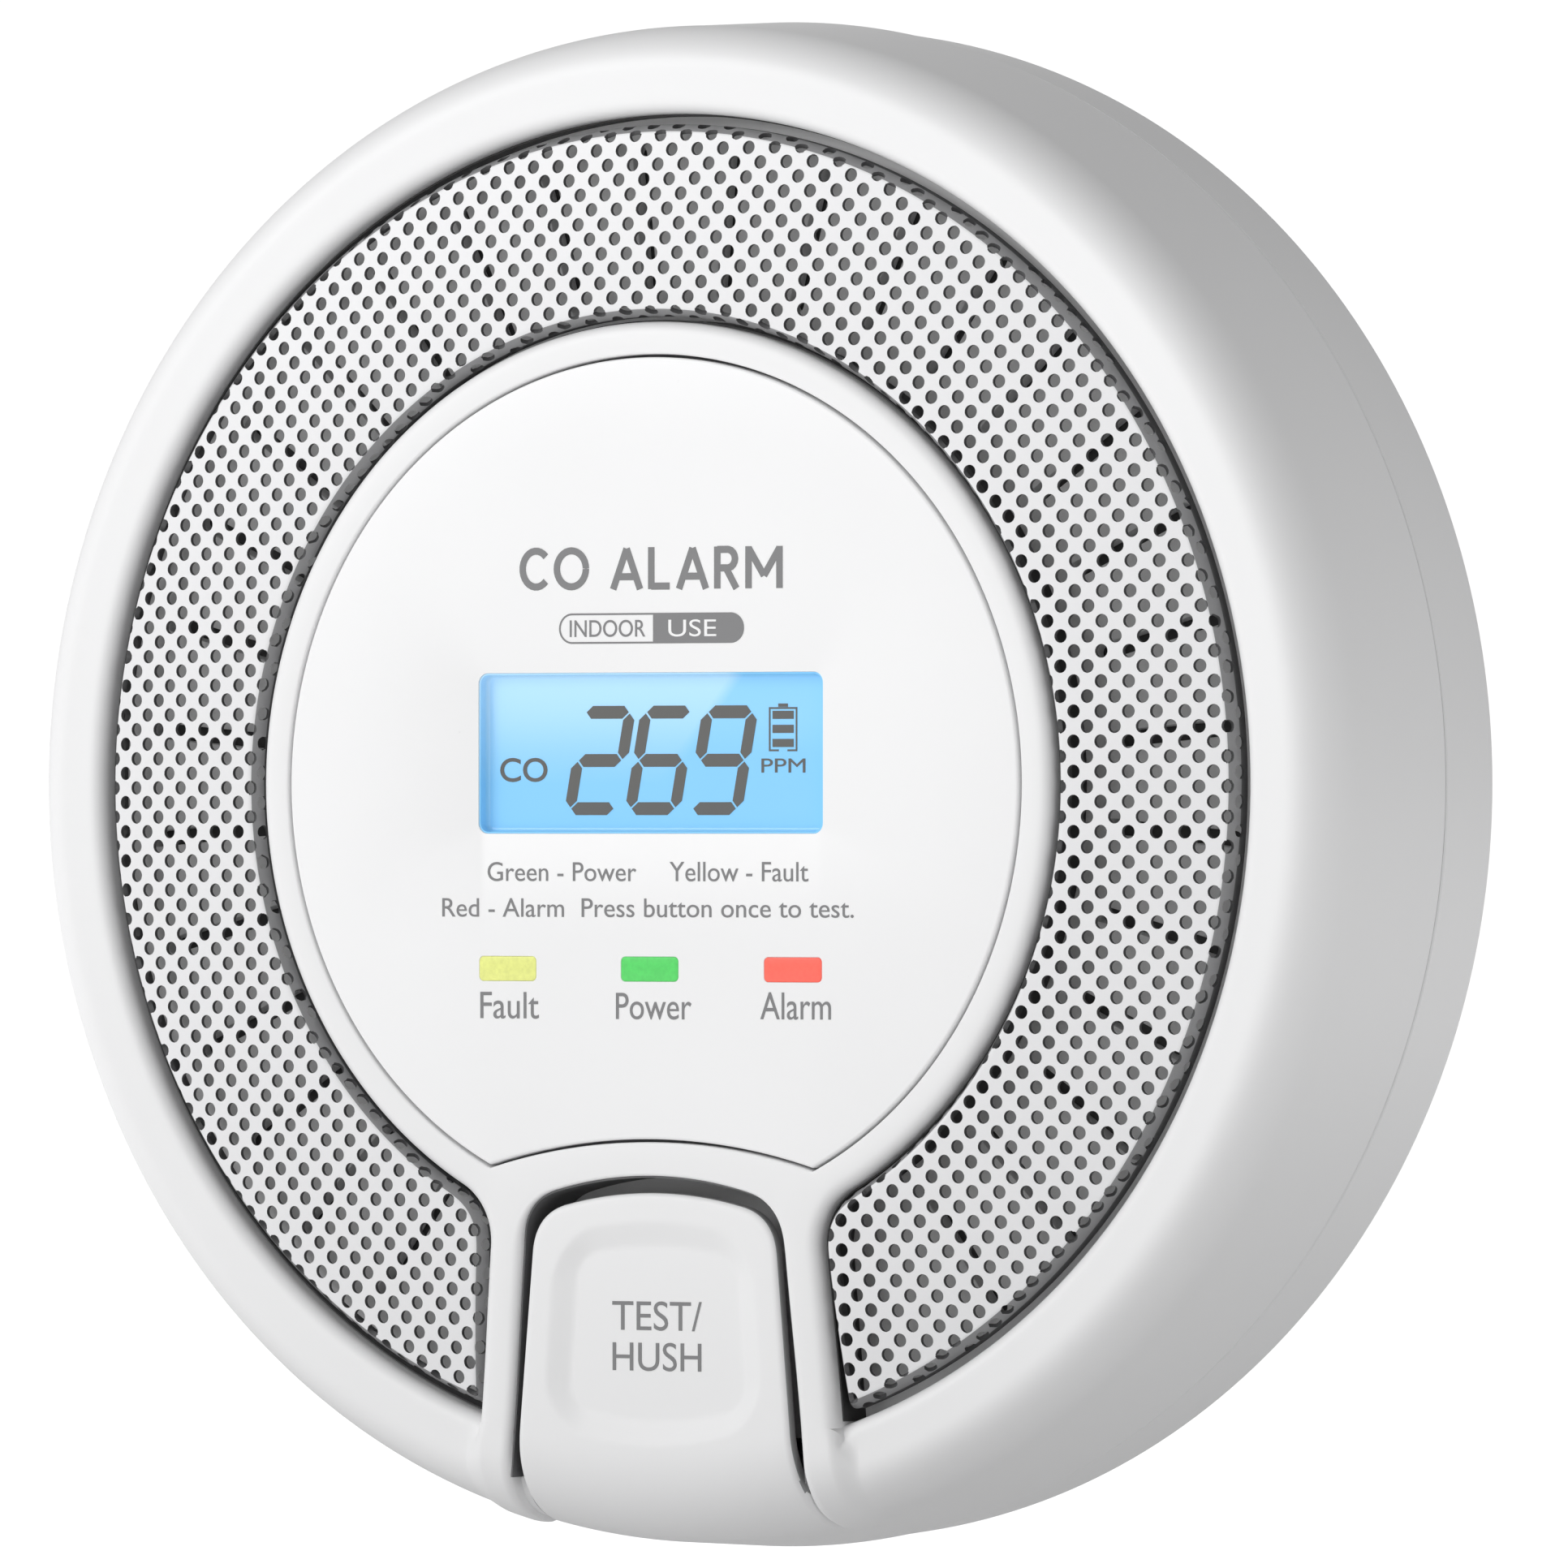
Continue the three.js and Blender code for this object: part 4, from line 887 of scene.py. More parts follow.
def digit(shell, sign, centre_x, height):
    """One seven-segment figure, leaning to the right."""
    half, rise, thick, lean = 1.87, 3.45, 0.92, 0.188
    ends = {
        "a": ((-half, rise), (half, rise)), "g": ((-half, 0), (half, 0)),
        "d": ((-half, -rise), (half, -rise)),
        "f": ((-half, 0), (-half, rise)), "b": ((half, 0), (half, rise)),
        "e": ((-half, -rise), (-half, 0)), "c": ((half, -rise), (half, 0)),
    }
    for name in SEGMENTS[sign]:
        (x0, z0), (x1, z1) = ends[name]
        start, end = np.array([x0, z0]), np.array([x1, z1])
        along = (end - start) / np.linalg.norm(end - start)
        across = np.array([-along[1], along[0]]) * thick / 2
        start, end = start + along * 0.1, end - along * 0.1
        tip = along * thick * 0.5
        loop = np.array([start, start + tip - across, end - tip - across, end, end - tip + across,
                         start + tip + across])
        loop[:, 0] += loop[:, 1] * lean + centre_x
        loop[:, 1] += DISPLAY_Z - 0.52
        strokes(shell, loop, height)


def box_loop(x0, x1, z0, z1):
    return [(x0, z0), (x1, z0), (x1, z1), (x0, z1)]


def display_marks():
    """Figures and battery symbol on the display."""
    shell = Shell()
    height = CROWN - DISPLAY_DEPTH + PRINT_RAISE
    shift = -0.6
    for sign, x in zip("269", (-4.17, 0.92, 6.08)):
        digit(shell, sign, x + shift, height)
    left, right = 9.97 + shift, 12.33 + shift
    low, high, pen = 2.3, 5.44, 0.13
    case = [
        (left, left + pen, low, high), (right - pen, right, low, high),
        (left + pen, right - pen, high - pen, high),
        (left + pen, left + 0.82, low, low + pen), (right - 0.82, right - pen, low, low + pen),
        (left + 0.78, right - 0.78, high + 0.02, high + 0.26),
    ]
    bars = [(left + 0.3, right - 0.3, foot, foot + 0.58) for foot in (low + 0.3, low + 1.3, low + 2.3)]
    for box in case + bars:
        strokes(shell, box_loop(*box), height)
    return shell.mesh("display_marks")


def lettering(name, text, box, height, weight):
    """Text as a thin closed plate that fills a box (x0, x1, z0, z1)."""
    x0, x1, z0, z1 = box
    curve = bpy.data.curves.new(name, "FONT")
    curve.body = text
    curve.size = 1.0
    curve.offset = weight
    curve.resolution_u = 6
    curve.extrude = 0.002
    thing = bpy.data.objects.new(name + "_outline", curve)
    bpy.context.scene.collection.objects.link(thing)
    bpy.context.view_layer.update()
    mesh = bpy.data.meshes.new_from_object(thing.evaluated_get(bpy.context.evaluated_depsgraph_get()))
    bpy.data.objects.remove(thing)
    bpy.data.curves.remove(curve)
    spots = np.empty(len(mesh.vertices) * 3)
    mesh.vertices.foreach_get("co", spots)
    spots = spots.reshape(-1, 3)
    low, high = spots.min(axis=0), spots.max(axis=0)
    wide = (spots[:, 0] - low[0]) / (high[0] - low[0])
    tall = (spots[:, 1] - low[1]) / (high[1] - low[1])
    thick = (spots[:, 2] - low[2]) / max(high[2] - low[2], 1e-9)
    placed = np.column_stack([
        (x0 + wide * (x1 - x0)) * MM, -(height + thick * PRINT_DEPTH) * MM, (z0 + tall * (z1 - z0)) * MM])
    mesh.vertices.foreach_set("co", placed.reshape(-1))
    mesh.update()
    mesh.materials.clear()
    mesh.name = name
    return mesh


def union(shell, loops, height):
    """Thin closed plate over everything that lies in any of the overlapping loops."""
    spots, faces, middles = meshed(loops)
    wanted = np.zeros(len(faces), bool)
    for loop in loops:
        wanted |= inside(middles, np.asarray(loop))
    thickened(shell, lifted(spots, height + PRINT_DEPTH), lifted(spots, height), faces[wanted])


def thickened(shell, front, back, faces):
    """Closes a front and a back surface, which share their triangles, with walls."""
    count = len(front)
    solid = [tuple(face) for face in faces] + [tuple(face[::-1] + count) for face in faces]
    directed = np.vstack([faces[:, [0, 1]], faces[:, [1, 2]], faces[:, [2, 0]]]).tolist()
    known = set(map(tuple, directed))
    solid += [(b, a, a + count, b + count) for a, b in directed if (b, a) not in known]
    shell.add(np.vstack([front, back]), solid)


# strokes of plain block capitals, in letter heights
ROUND_C = [(0.40 + 0.36 * math.cos(a), 0.5 + 0.43 * math.sin(a)) for a in np.linspace(0.75, 5.53, 22)]
ROUND_O = [(0.43 + 0.39 * math.cos(a), 0.5 + 0.43 * math.sin(a)) for a in np.linspace(0, 2 * math.pi, 33)]
R_BOWL = ([(0.07, 0.93), (0.34, 0.93)]
          + [(0.34 + 0.2 * math.cos(a), 0.71 + 0.22 * math.sin(a)) for a in np.linspace(1.4, -1.4, 9)]
          + [(0.34, 0.49), (0.07, 0.49)])
CAPITALS = {
    "C": (0.76, [ROUND_C]),
    "O": (0.86, [ROUND_O]),
    "A": (0.86, [[(0.07, 0.0), (0.43, 0.97)], [(0.43, 0.97), (0.79, 0.0)], [(0.19, 0.3), (0.67, 0.3)]]),
    "L": (0.58, [[(0.07, 1.0), (0.07, 0.0)], [(0.07, 0.07), (0.56, 0.07)]]),
    "R": (0.66, [[(0.07, 0.0), (0.07, 1.0)], R_BOWL, [(0.3, 0.49), (0.58, 0.0)]]),
    "M": (0.98, [[(0.08, 0.0), (0.08, 1.0)], [(0.08, 0.96), (0.49, 0.3)], [(0.49, 0.3), (0.9, 0.96)],
                 [(0.9, 1.0), (0.9, 0.0)]]),
    " ": (0.3, []),
}


def block_title(name, text, box, pen):
    """Bold block capitals that fill a box (x0, x1, z0, z1); pen is the stroke in letter heights."""
    x0, x1, z0, z1 = box
    gap = 0.16
    width = sum(CAPITALS[sign][0] + gap for sign in text) - gap
    at, loops = 0.0, []
    for sign in text:
        wide, paths = CAPITALS[sign]
        for path in paths:
            path = np.asarray(path, float) + (at, 0)
            normals = left_normals(path, False) * pen / 2
            loops.append(np.vstack([path + normals, (path - normals)[::-1]]))
        at += wide + gap
    shell = Shell()
    low = np.array([x0, z0])
    scale = np.array([(x1 - x0) / width, z1 - z0])
    union(shell, [loop * scale + low for loop in loops], CROWN + PRINT_RAISE)
    return shell.mesh(name)


def badge():
    """Two-tone pill: an outlined left half and a filled right half."""
    shell = Shell()
    height = CROWN + PRINT_RAISE
    x0, x1, z0, z1 = -7.6, 7.9, 10.02, 12.2
    middle, pen = (x0 + x1) / 2 + 0.15, 0.13
    radius = (z1 - z0) / 2
    centre_z = (z0 + z1) / 2
    outer = arc(radius, math.pi / 2, 1.5 * math.pi, 24, x0 + radius, centre_z)
    inner = arc(radius - pen, 1.5 * math.pi, math.pi / 2, 24, x0 + radius, centre_z)
    foot = [(middle, z0), (middle, z0 + pen)]
    left = np.vstack([[(middle, z1)], outer, foot, inner, [(middle, z1 - pen)]])
    round_end = arc(radius, -math.pi / 2, math.pi / 2, 24, x1 - radius, centre_z)
    right = np.vstack([[(middle, z0)], round_end, [(middle, z1)]])
    strokes(shell, left, height)
    strokes(shell, right, height)
    return shell.mesh("badge_print")


# ---------------------------------------------------------------- test button


def button_profile():
    """Arc length along the button's middle, with its (radius, height, normal, normal) there."""
    start, side_top = SHOULDER_RADIUS - 6.8, FRONT - SHOULDER_DEPTH - 1.1
    points = [(r, BUTTON_FRONT) for r in np.linspace(-BUTTON_TOP - 3, start, 60)]
    points += quarter(start, BUTTON_FRONT, SHOULDER_RADIUS + 0.05, side_top, 40, "radius")[1:]
    points += [(side_radius(h), h) for h in np.linspace(side_top, BUTTON_FOOT, 8)[1:]]
    points = np.array(points)
    steps = np.hypot(*np.diff(points, axis=0).T)
    along = points[0, 0] + np.concatenate([[0], np.cumsum(steps)])  # starts as the radius
    slopes = np.gradient(points, along, axis=0)
    normals = np.stack([-slopes[:, 1], slopes[:, 0]], axis=1)
    normals /= np.linalg.norm(normals, axis=1)[:, None]
    return along, np.hstack([points, normals])


def dish_depth(x, z):
    """Depth of the shallow finger dish at a place on the button's face."""
    beside = DISH_HALF + (DISH_WIDE_Z - z) * DISH_TAPER - np.abs(x)
    above = DISH_TOP - DISH_TOP_BEND * x * x - z
    below = z - DISH_FOOT - DISH_FOOT_BEND * x * x
    upright = np.minimum(above, below)
    outside = np.hypot(np.clip(DISH_CORNER - beside, 0, None), np.clip(DISH_CORNER - upright, 0, None))
    within = np.where(outside > 0, DISH_CORNER - outside, np.minimum(beside, upright))
    share = np.clip(within / DISH_SLOPE, 0, 1)
    return DISH_DEPTH * (0.9 * share + 0.1 * smooth_step(share))


def button_skin(profile, flat, sunk):
    """Corners at (x, arc length) places, sunk below the button's skin."""
    along, columns = profile
    x, s = flat.T
    radius, height, lean_r, lean_h = (np.interp(s, along, column) for column in columns.T)
    face_z = -np.sqrt(np.clip(radius ** 2 - x ** 2, 1, None))
    dish = np.where(radius < OPENING_RADIUS, dish_depth(x, face_z), 0)
    sunk = sunk + dish * (sunk < FLAP_THICKNESS)
    radius = radius - sunk * lean_r
    z = -np.sqrt(np.clip(radius ** 2 - x ** 2, 1, None))
    return np.column_stack([x, z, height - sunk * lean_h])


def button_outline(profile):
    """Outline of the flap as (x, arc length): arched top, widening sides, straight foot."""
    along, columns = profile
    foot = along[-1]
    top = [(x, math.hypot(x, z)) for x, z in bay_path(0, BUTTON_TOP, BAY_CORNER, SIDE_START, 0.3)]
    right = []
    for s in np.linspace(top[0][1], foot, 60)[1:]:
        radius = np.interp(s, along, columns[:, 0])
        right.append((button_half(-math.sqrt(radius ** 2 - FOOT_HALF ** 2)), s))
    left = [(-x, s) for x, s in right]
    base = [(x, foot) for x in np.linspace(left[-1][0], right[-1][0], 60)[1:-1]]
    return facing(np.vstack([top, left, base, right[::-1]]), True)


def grid_inside(loop, step, foot):
    xs, ss = np.meshgrid(np.arange(-13, 13, step), np.arange(25, foot, step))
    spots = np.column_stack([xs.ravel(), ss.ravel()])
    return spots[inside(spots, loop)]


def test_button():
    """Flap that follows the bezel's shoulder, with a rounded edge and the finger dish."""
    profile = button_profile()
    foot = profile[0][-1]
    outline = button_outline(profile)
    inward = left_normals(outline, True)
    scale = 0.12 + 0.88 * smooth_step((foot - outline[:, 1]) / 2.0)  # a sharper edge at the foot
    shell = Shell()
    rows = [button_skin(profile, outline, np.full(len(outline), FLAP_THICKNESS))]
    for inset, drop in edge_round(BUTTON_ROUND, BUTTON_ROUND * 0.9, 7):
        last = outline + inward * (inset * scale)[:, None]
        rows.append(button_skin(profile, last, drop * scale))
    shell.grid(rows, closed=True)
    trimmed = outline + inward * (BUTTON_ROUND + 0.25)
    spots, faces = triangulated([last], grid_inside(trimmed, 0.25, foot))
    shell.add(button_skin(profile, spots, np.zeros(len(spots))), faces)
    spots, faces = triangulated([outline], grid_inside(outline + inward * 0.5, 1.0, foot))
    shell.add(button_skin(profile, spots, np.full(len(spots), FLAP_THICKNESS)), faces)
    mesh = shell.mesh("button_flap")
    # painted shade: upright flank faces above FLANK_END take the second, dark material
    looks = [int(abs(face.normal.y) < 0.5 and face.center.z > FLANK_END * MM) for face in mesh.polygons]
    mesh.polygons.foreach_set("material_index", looks)
    return mesh


# ---------------------------------------------------------------- rear parts

BACK = 5.6
PLATE_FRONT = BACK + WALL
BRACKET_RADIUS = 48.5
BRACKET_OPENING = 34.0
BRACKET_PLATE = 2.4
BRACKET_DEPTH = 5.2
RIM = 1.8
HOOK_RADIUS = 44.7
HOOK_HALF = 1.2
HOOK_LIP = 1.6
HOOK_SPAN = 13.0
TWIST = 15.0
HOOK_ANGLES = (90, 210, 330)
SCREW_ANGLES = (35, 145, 245, 295)
SCREW_CIRCLE = 41.0
CAVITY = (-21.45, 18.45, 5.9, 24.1)
HINGE_Z = 22.2
HINGE_HEIGHT = 7.1
DOOR_THICKNESS = 1.7
SCREW_HEAD = 2.5  # radius
SCREW_SHANK = 1.3
BATTERY_HALF = 17.25
BATTERY_RADIUS = 8.5
BATTERY_AXIS = (15, 16.7)  # z and height
TERMINAL = 1.0


def sector(inner, outer, start, end, count=14):
    """Outline of part of a ring; angles in degrees."""
    start, end = math.radians(start), math.radians(end)
    return np.vstack([arc(outer, start, end, count), arc(inner, end, start, count)])


def hook_slot(angle):
    """Bayonet slot: wide where the hook's lip enters, narrow where it turns."""
    low = math.radians(angle - TWIST / 2 - (HOOK_SPAN + TWIST + 2.4) / 2)
    high = math.radians(angle - TWIST / 2 + (HOOK_SPAN + TWIST + 2.4) / 2)
    middle = math.radians(angle - TWIST + (HOOK_SPAN + 2.4) / 2)
    inner, outer = HOOK_RADIUS - HOOK_HALF - 0.3, HOOK_RADIUS + HOOK_HALF + 0.3
    return np.vstack([arc(outer, low, high, 24), arc(inner, high, middle, 12),
                      arc(inner - HOOK_LIP, middle, low, 12)])


def on_circle(radius, degrees):
    angle = math.radians(degrees)
    return radius * math.cos(angle), radius * math.sin(angle)


def rear_shell():
    """Rear wall turned about the axis, with a soft outer edge."""
    shell = Shell()
    seam = PARTING - PARTING_GAP / 2
    step = BRACKET_RADIUS + 0.6
    profile = [(step - 1.0, PLATE_FRONT), (step - 1.0, BACK)]
    profile += quarter(step - 0.4, BACK, step, BACK + 0.4, 4, "radius")
    profile += [(step + 0.3, BACK + 2.3)]
    profile += quarter(step + 0.9, BACK + 2.7, step + 0.3, BACK + 2.3, 4, "radius")[::-1][1:]
    profile += [(BODY_RADIUS - 2.0, BACK + 3.0)]
    profile += [(BODY_RADIUS - 2.0 + 1.6 * math.sin(a), BACK + 4.4 - 1.4 * math.cos(a))
                for a in np.linspace(0.12, math.pi / 2, 9)]
    profile += [(BODY_RADIUS - 0.1, seam - 0.12), (BODY_RADIUS - 0.2, seam)]
    profile += [(BODY_RADIUS - WALL - 0.3, seam), (BODY_RADIUS - WALL - 0.3, seam + WALL)]
    profile += [(BODY_RADIUS - WALL * 1.65, seam + WALL), (BODY_RADIUS - WALL * 1.65, BACK + 5.2)]
    profile += [(step - 0.6, BACK + 4.8)]
    turned(shell, profile, 288)
    return shell.mesh("rear_wall")


def rear_plate():
    """Back plate with the battery opening, hook slots and screw holes, and the battery's tub."""
    shell = Shell()
    left, right, low, high = CAVITY
    opening = [(left, low), (-6, low), (-6, low - 3), (6, low - 3), (6, low), (right, low), (right, high),
               (left, high)]
    loops = [circle(BRACKET_RADIUS + 0.1, 240), spaced(opening, 1.0, closed=True)]
    loops += [hook_slot(angle) for angle in HOOK_ANGLES]
    loops += [circle(SCREW_HEAD + 0.3, 32, *on_circle(SCREW_CIRCLE, angle)) for angle in SCREW_ANGLES]
    rounds = [edge_round(0.05, 0.05, 1)] + [edge_round(0.12, 0.12, 3)] * (len(loops) - 1)
    plate(shell, loops, rounds, -BACK, -PLATE_FRONT)
    shell.turn_over()
    tub = [box_loop(left - 1.6, right + 1.6, low - 1.6, high + 1.6), box_loop(left, right, low, high)]
    crisp = edge_round(0.15, 0.15, 2)
    plate(shell, [spaced(loop, 2.0, closed=True) for loop in tub], [crisp, crisp], 20.9, PLATE_FRONT - 0.6)
    return shell.mesh("rear_plate")


def bracket():
    """Wall ring with rims, two slots for wall screws and three bayonet hooks."""
    shell = Shell()
    slots = [rounded_box(3.9, 9.0, 1.94, side * (BRACKET_RADIUS - 7.25), 0, 10) for side in (-1, 1)]
    loops = [circle(BRACKET_RADIUS, 240), circle(BRACKET_OPENING, 200)] + slots
    plate(shell, loops, [edge_round(0.3, 0.3, 4)] * 2 + [edge_round(0.15, 0.15, 3)] * 2, 0, -BRACKET_PLATE)
    shell.turn_over()
    soft = 0.35
    for inner in (BRACKET_RADIUS - RIM, BRACKET_OPENING):
        outer = inner + RIM
        profile = [(inner, BRACKET_PLATE - 0.6), (inner, BRACKET_DEPTH - soft)]
        profile += quarter(inner, BRACKET_DEPTH - soft, inner + soft, BRACKET_DEPTH, 4)
        profile += quarter(outer - soft, BRACKET_DEPTH, outer, BRACKET_DEPTH - soft, 4, "radius")
        profile += [(outer, BRACKET_PLATE - 0.6)]
        turned(shell, profile, 240)
    crisp = edge_round(0.2, 0.2, 3)
    lip_low = PLATE_FRONT + 0.3
    for angle in HOOK_ANGLES:
        ends = (angle - HOOK_SPAN / 2, angle + HOOK_SPAN / 2)
        stem = sector(HOOK_RADIUS - HOOK_HALF, HOOK_RADIUS + HOOK_HALF, *ends)
        lip = sector(HOOK_RADIUS - HOOK_HALF - HOOK_LIP, HOOK_RADIUS - HOOK_HALF + 0.5, *ends)
        plate(shell, [stem], [crisp], lip_low + 1.5, BRACKET_PLATE - 0.4)
        plate(shell, [lip], [crisp], lip_low + 1.5, lip_low)
    return shell.mesh("bracket_ring")


def rod(shell, x0, x1, z, height, radius, soft=0.2, sides=40):
    """Round bar along X with softened ends."""
    angles = np.arange(sides) * 2 * math.pi / sides
    stations = [(x0, 0.0), (x0, radius - soft), (x0 + soft * 0.3, radius - soft * 0.3), (x0 + soft, radius),
                (x1 - soft, radius), (x1 - soft * 0.3, radius - soft * 0.3), (x1, radius - soft), (x1, 0.0)]
    rows = [np.column_stack([np.full(sides, x), z + r * np.cos(angles), height + r * np.sin(angles)])
            for x, r in stations]
    shell.grid(rows, closed=True)


def battery_door():
    """Door panel with finger ridges, hinge knuckle, pins and a latch tongue."""
    shell = Shell()
    left, right, low, _ = CAVITY
    foot = low + 0.4
    panel = rounded_box(right - left - 0.8, HINGE_Z - foot, 0.8, (left + right) / 2, (foot + HINGE_Z) / 2)
    plate(shell, [panel], [edge_round(0.3, 0.3, 4)], -BACK, -BACK - DOOR_THICKNESS)
    for k in range(3):
        ridge = rounded_box(11, 0.8, 0.39, 0, low + 2.4 + 1.5 * k, 6)
        plate(shell, [ridge], [edge_round(0.3, 0.3, 4)], -BACK + 0.35, -BACK - 0.5)
    shell.turn_over()
    rod(shell, left + 0.4, right - 0.4, HINGE_Z, HINGE_HEIGHT, 1.5)
    rod(shell, left - 1.1, right + 1.1, HINGE_Z, HINGE_HEIGHT, 0.9)
    tongue = rounded_box(8, 1.0, 0.3, 0, low + 0.7, 4)
    plate(shell, [tongue], [edge_round(0.2, 0.2, 3)], BACK + 3.2, BACK + 0.5)
    return shell.mesh("door_panel")


def housing_screw(angle, name):
    """Pan head with a cross recess, on its shank."""
    shell = Shell()
    x, z = on_circle(SCREW_CIRCLE, angle)
    half, reach = 0.3, 1.5
    cross = [(half, half), (half, reach), (-half, reach), (-half, half), (-reach, half), (-reach, -half),
             (-half, -half), (-half, -reach), (half, -reach), (half, -half), (reach, -half), (reach, half)]
    head_back, middle, head_front = BACK + 0.5, BACK + 1.4, BACK + 2.3
    plate(shell, [circle(SCREW_HEAD, 40, x, z), np.array(cross) + (x, z)],
          [edge_round(0.5, 0.35, 5), edge_round(0.06, 0.06, 1)], -head_back, -middle)
    shell.turn_over()
    plate(shell, [circle(SCREW_HEAD, 40, x, z)], [edge_round(0.02, 0.02, 1)], head_front, middle)
    plate(shell, [circle(SCREW_SHANK, 24, x, z)], [edge_round(0.3, 0.6, 3)], head_front + 14, head_front)
    return shell.mesh(name)


def battery_cell():
    """Cell with its raised positive end."""
    shell = Shell()
    rod(shell, -BATTERY_HALF, BATTERY_HALF - TERMINAL, *BATTERY_AXIS, BATTERY_RADIUS, 0.5, 72)
    rod(shell, BATTERY_HALF - TERMINAL - 0.25, BATTERY_HALF, *BATTERY_AXIS, 3.0, 0.25, 40)
    return shell.mesh("battery_cell")


# ---------------------------------------------------------------- materials

MICRON = 0.000001


def add_node(tree, kind, source=None, **values):
    """Adds a shader node, feeds its first input from a socket and sets inputs by name."""
    made = tree.nodes.new("ShaderNode" + kind)
    for key, value in values.items():
        made.inputs[key.replace("_", " ")].default_value = value
    if source is not None:
        tree.links.new(source, made.inputs[0])
    return made


def feed(tree, bsdf, **sources):
    """Links sockets to the shader's inputs of these names."""
    for key, source in sources.items():
        tree.links.new(source, bsdf.inputs[key.replace("_", " ")])


def shader(name, color, roughness, metallic=0.0):
    """A Principled material; returns it with its node tree and shader."""
    material = bpy.data.materials.new(name)
    material.use_nodes = True
    tree = material.node_tree
    bsdf = tree.nodes["Principled BSDF"]
    bsdf.inputs["Base Color"].default_value = (*color, 1)
    bsdf.inputs["Roughness"].default_value = roughness
    bsdf.inputs["Metallic"].default_value = metallic
    return material, tree, bsdf


def object_place(tree):
    return add_node(tree, "TexCoord").outputs["Object"]


def noise(tree, scale, detail=3.0, rough=0.5):
    made = add_node(tree, "TexNoise", object_place(tree), Scale=scale, Detail=detail, Roughness=rough)
    return made.outputs["Fac"]


def mapped(tree, source, low, high, start=0.0, end=1.0):
    """A value mapped from start..end to low..high and held there."""
    made = add_node(tree, "MapRange", source, From_Min=start, From_Max=end, To_Min=low, To_Max=high)
    return made.outputs["Result"]


def calculated(tree, operation, *values):
    """Result of a math node; each value is a socket or a plain number."""
    made = tree.nodes.new("ShaderNodeMath")
    made.operation = operation
    for value, slot in zip(values, made.inputs):
        if isinstance(value, float):
            slot.default_value = value
        else:
            tree.links.new(value, slot)
    return made.outputs[0]


def ramp(tree, source, low, high, first=0.3, last=0.7):
    """Colour that goes from low to high as the source goes from first to last."""
    made = add_node(tree, "ValToRGB", source)
    for element, position, color in zip(made.color_ramp.elements, (first, last), (low, high)):
        element.position = position
        element.color = (*color, 1)
    return made.outputs["Color"]


def add_bump(tree, bsdf, source, strength, relief):
    """Relief in micrometres."""
    bump = add_node(tree, "Bump", Strength=strength, Distance=relief * MICRON)
    tree.links.new(source, bump.inputs["Height"])
    feed(tree, bsdf, Normal=bump.outputs["Normal"])


def dimmed(color, share):
    return tuple(c * share for c in color)


def lit(tree, bsdf, tone, strength):
    """Gives the shader a colour that it also sends out."""
    feed(tree, bsdf, Base_Color=tone, Emission_Color=tone)
    bsdf.inputs["Emission Strength"].default_value = strength


def grained_plastic(name, color, roughness, grain=5200.0, relief=10):
    """Moulded plastic: spark-eroded grain, slightly uneven gloss and tone."""
    material, tree, bsdf = shader(name, color, roughness)
    fine, broad = noise(tree, grain, 2.0), noise(tree, 45.0)
    feed(tree, bsdf, Base_Color=ramp(tree, broad, dimmed(color, 0.985), color),
         Roughness=mapped(tree, fine, roughness - 0.05, roughness + 0.07))
    add_bump(tree, bsdf, fine, 0.35, relief)
    return material


def metal(name, color, roughness):
    """Metal with fine drawn scratches and uneven polish."""
    material, tree, bsdf = shader(name, color, roughness, 1.0)
    marks = noise(tree, 700.0, 4.0, 0.65)
    feed(tree, bsdf, Roughness=mapped(tree, marks, roughness - 0.08, roughness + 0.12),
         Base_Color=ramp(tree, marks, dimmed(color, 0.8), color))
    add_bump(tree, bsdf, marks, 0.2, 10)
    return material


def layered_rubber():
    """Fine pink and black layers across X, as in a rubber connector strip."""
    pink, black, pitch = (0.75, 0.35, 0.38), (0.12, 0.1, 0.1), 0.0004
    material, tree, bsdf = shader("connector_rubber", pink, 0.6)
    wave = add_node(tree, "TexWave", object_place(tree), Scale=math.pi / (10 * pitch))
    feed(tree, bsdf, Base_Color=ramp(tree, wave.outputs["Fac"], pink, black, 0.45, 0.55))
    return material


def circuit_laminate():
    """Green solder mask over faintly raised copper tracks."""
    material, tree, bsdf = shader("board_laminate", (0.02, 0.14, 0.06), 0.35)
    brick = add_node(tree, "TexBrick", object_place(tree), Scale=260.0, Mortar_Size=0.06)
    tracks = brick.outputs["Fac"]
    feed(tree, bsdf, Base_Color=ramp(tree, tracks, (0.015, 0.11, 0.045), (0.03, 0.2, 0.09), 0.2, 0.8))
    add_bump(tree, bsdf, tracks, 0.3, 30)
    return material


def battery_wrap():
    """Shrink wrap: dark over most of its length, with a pale band at the positive end."""
    half, band = 0.018, 0.70  # metres from the middle, and the share of the length where the band starts
    material, tree, bsdf = shader("battery_wrap", (0.1, 0.1, 0.11), 0.28)
    split = add_node(tree, "SeparateXYZ", object_place(tree))
    along = mapped(tree, split.outputs["X"], 0.0, 1.0, -half, half)
    feed(tree, bsdf, Base_Color=ramp(tree, along, (0.06, 0.07, 0.09), (0.6, 0.6, 0.58), band, band + 0.005))
    add_bump(tree, bsdf, noise(tree, 320.0), 0.2, 40)
    return material


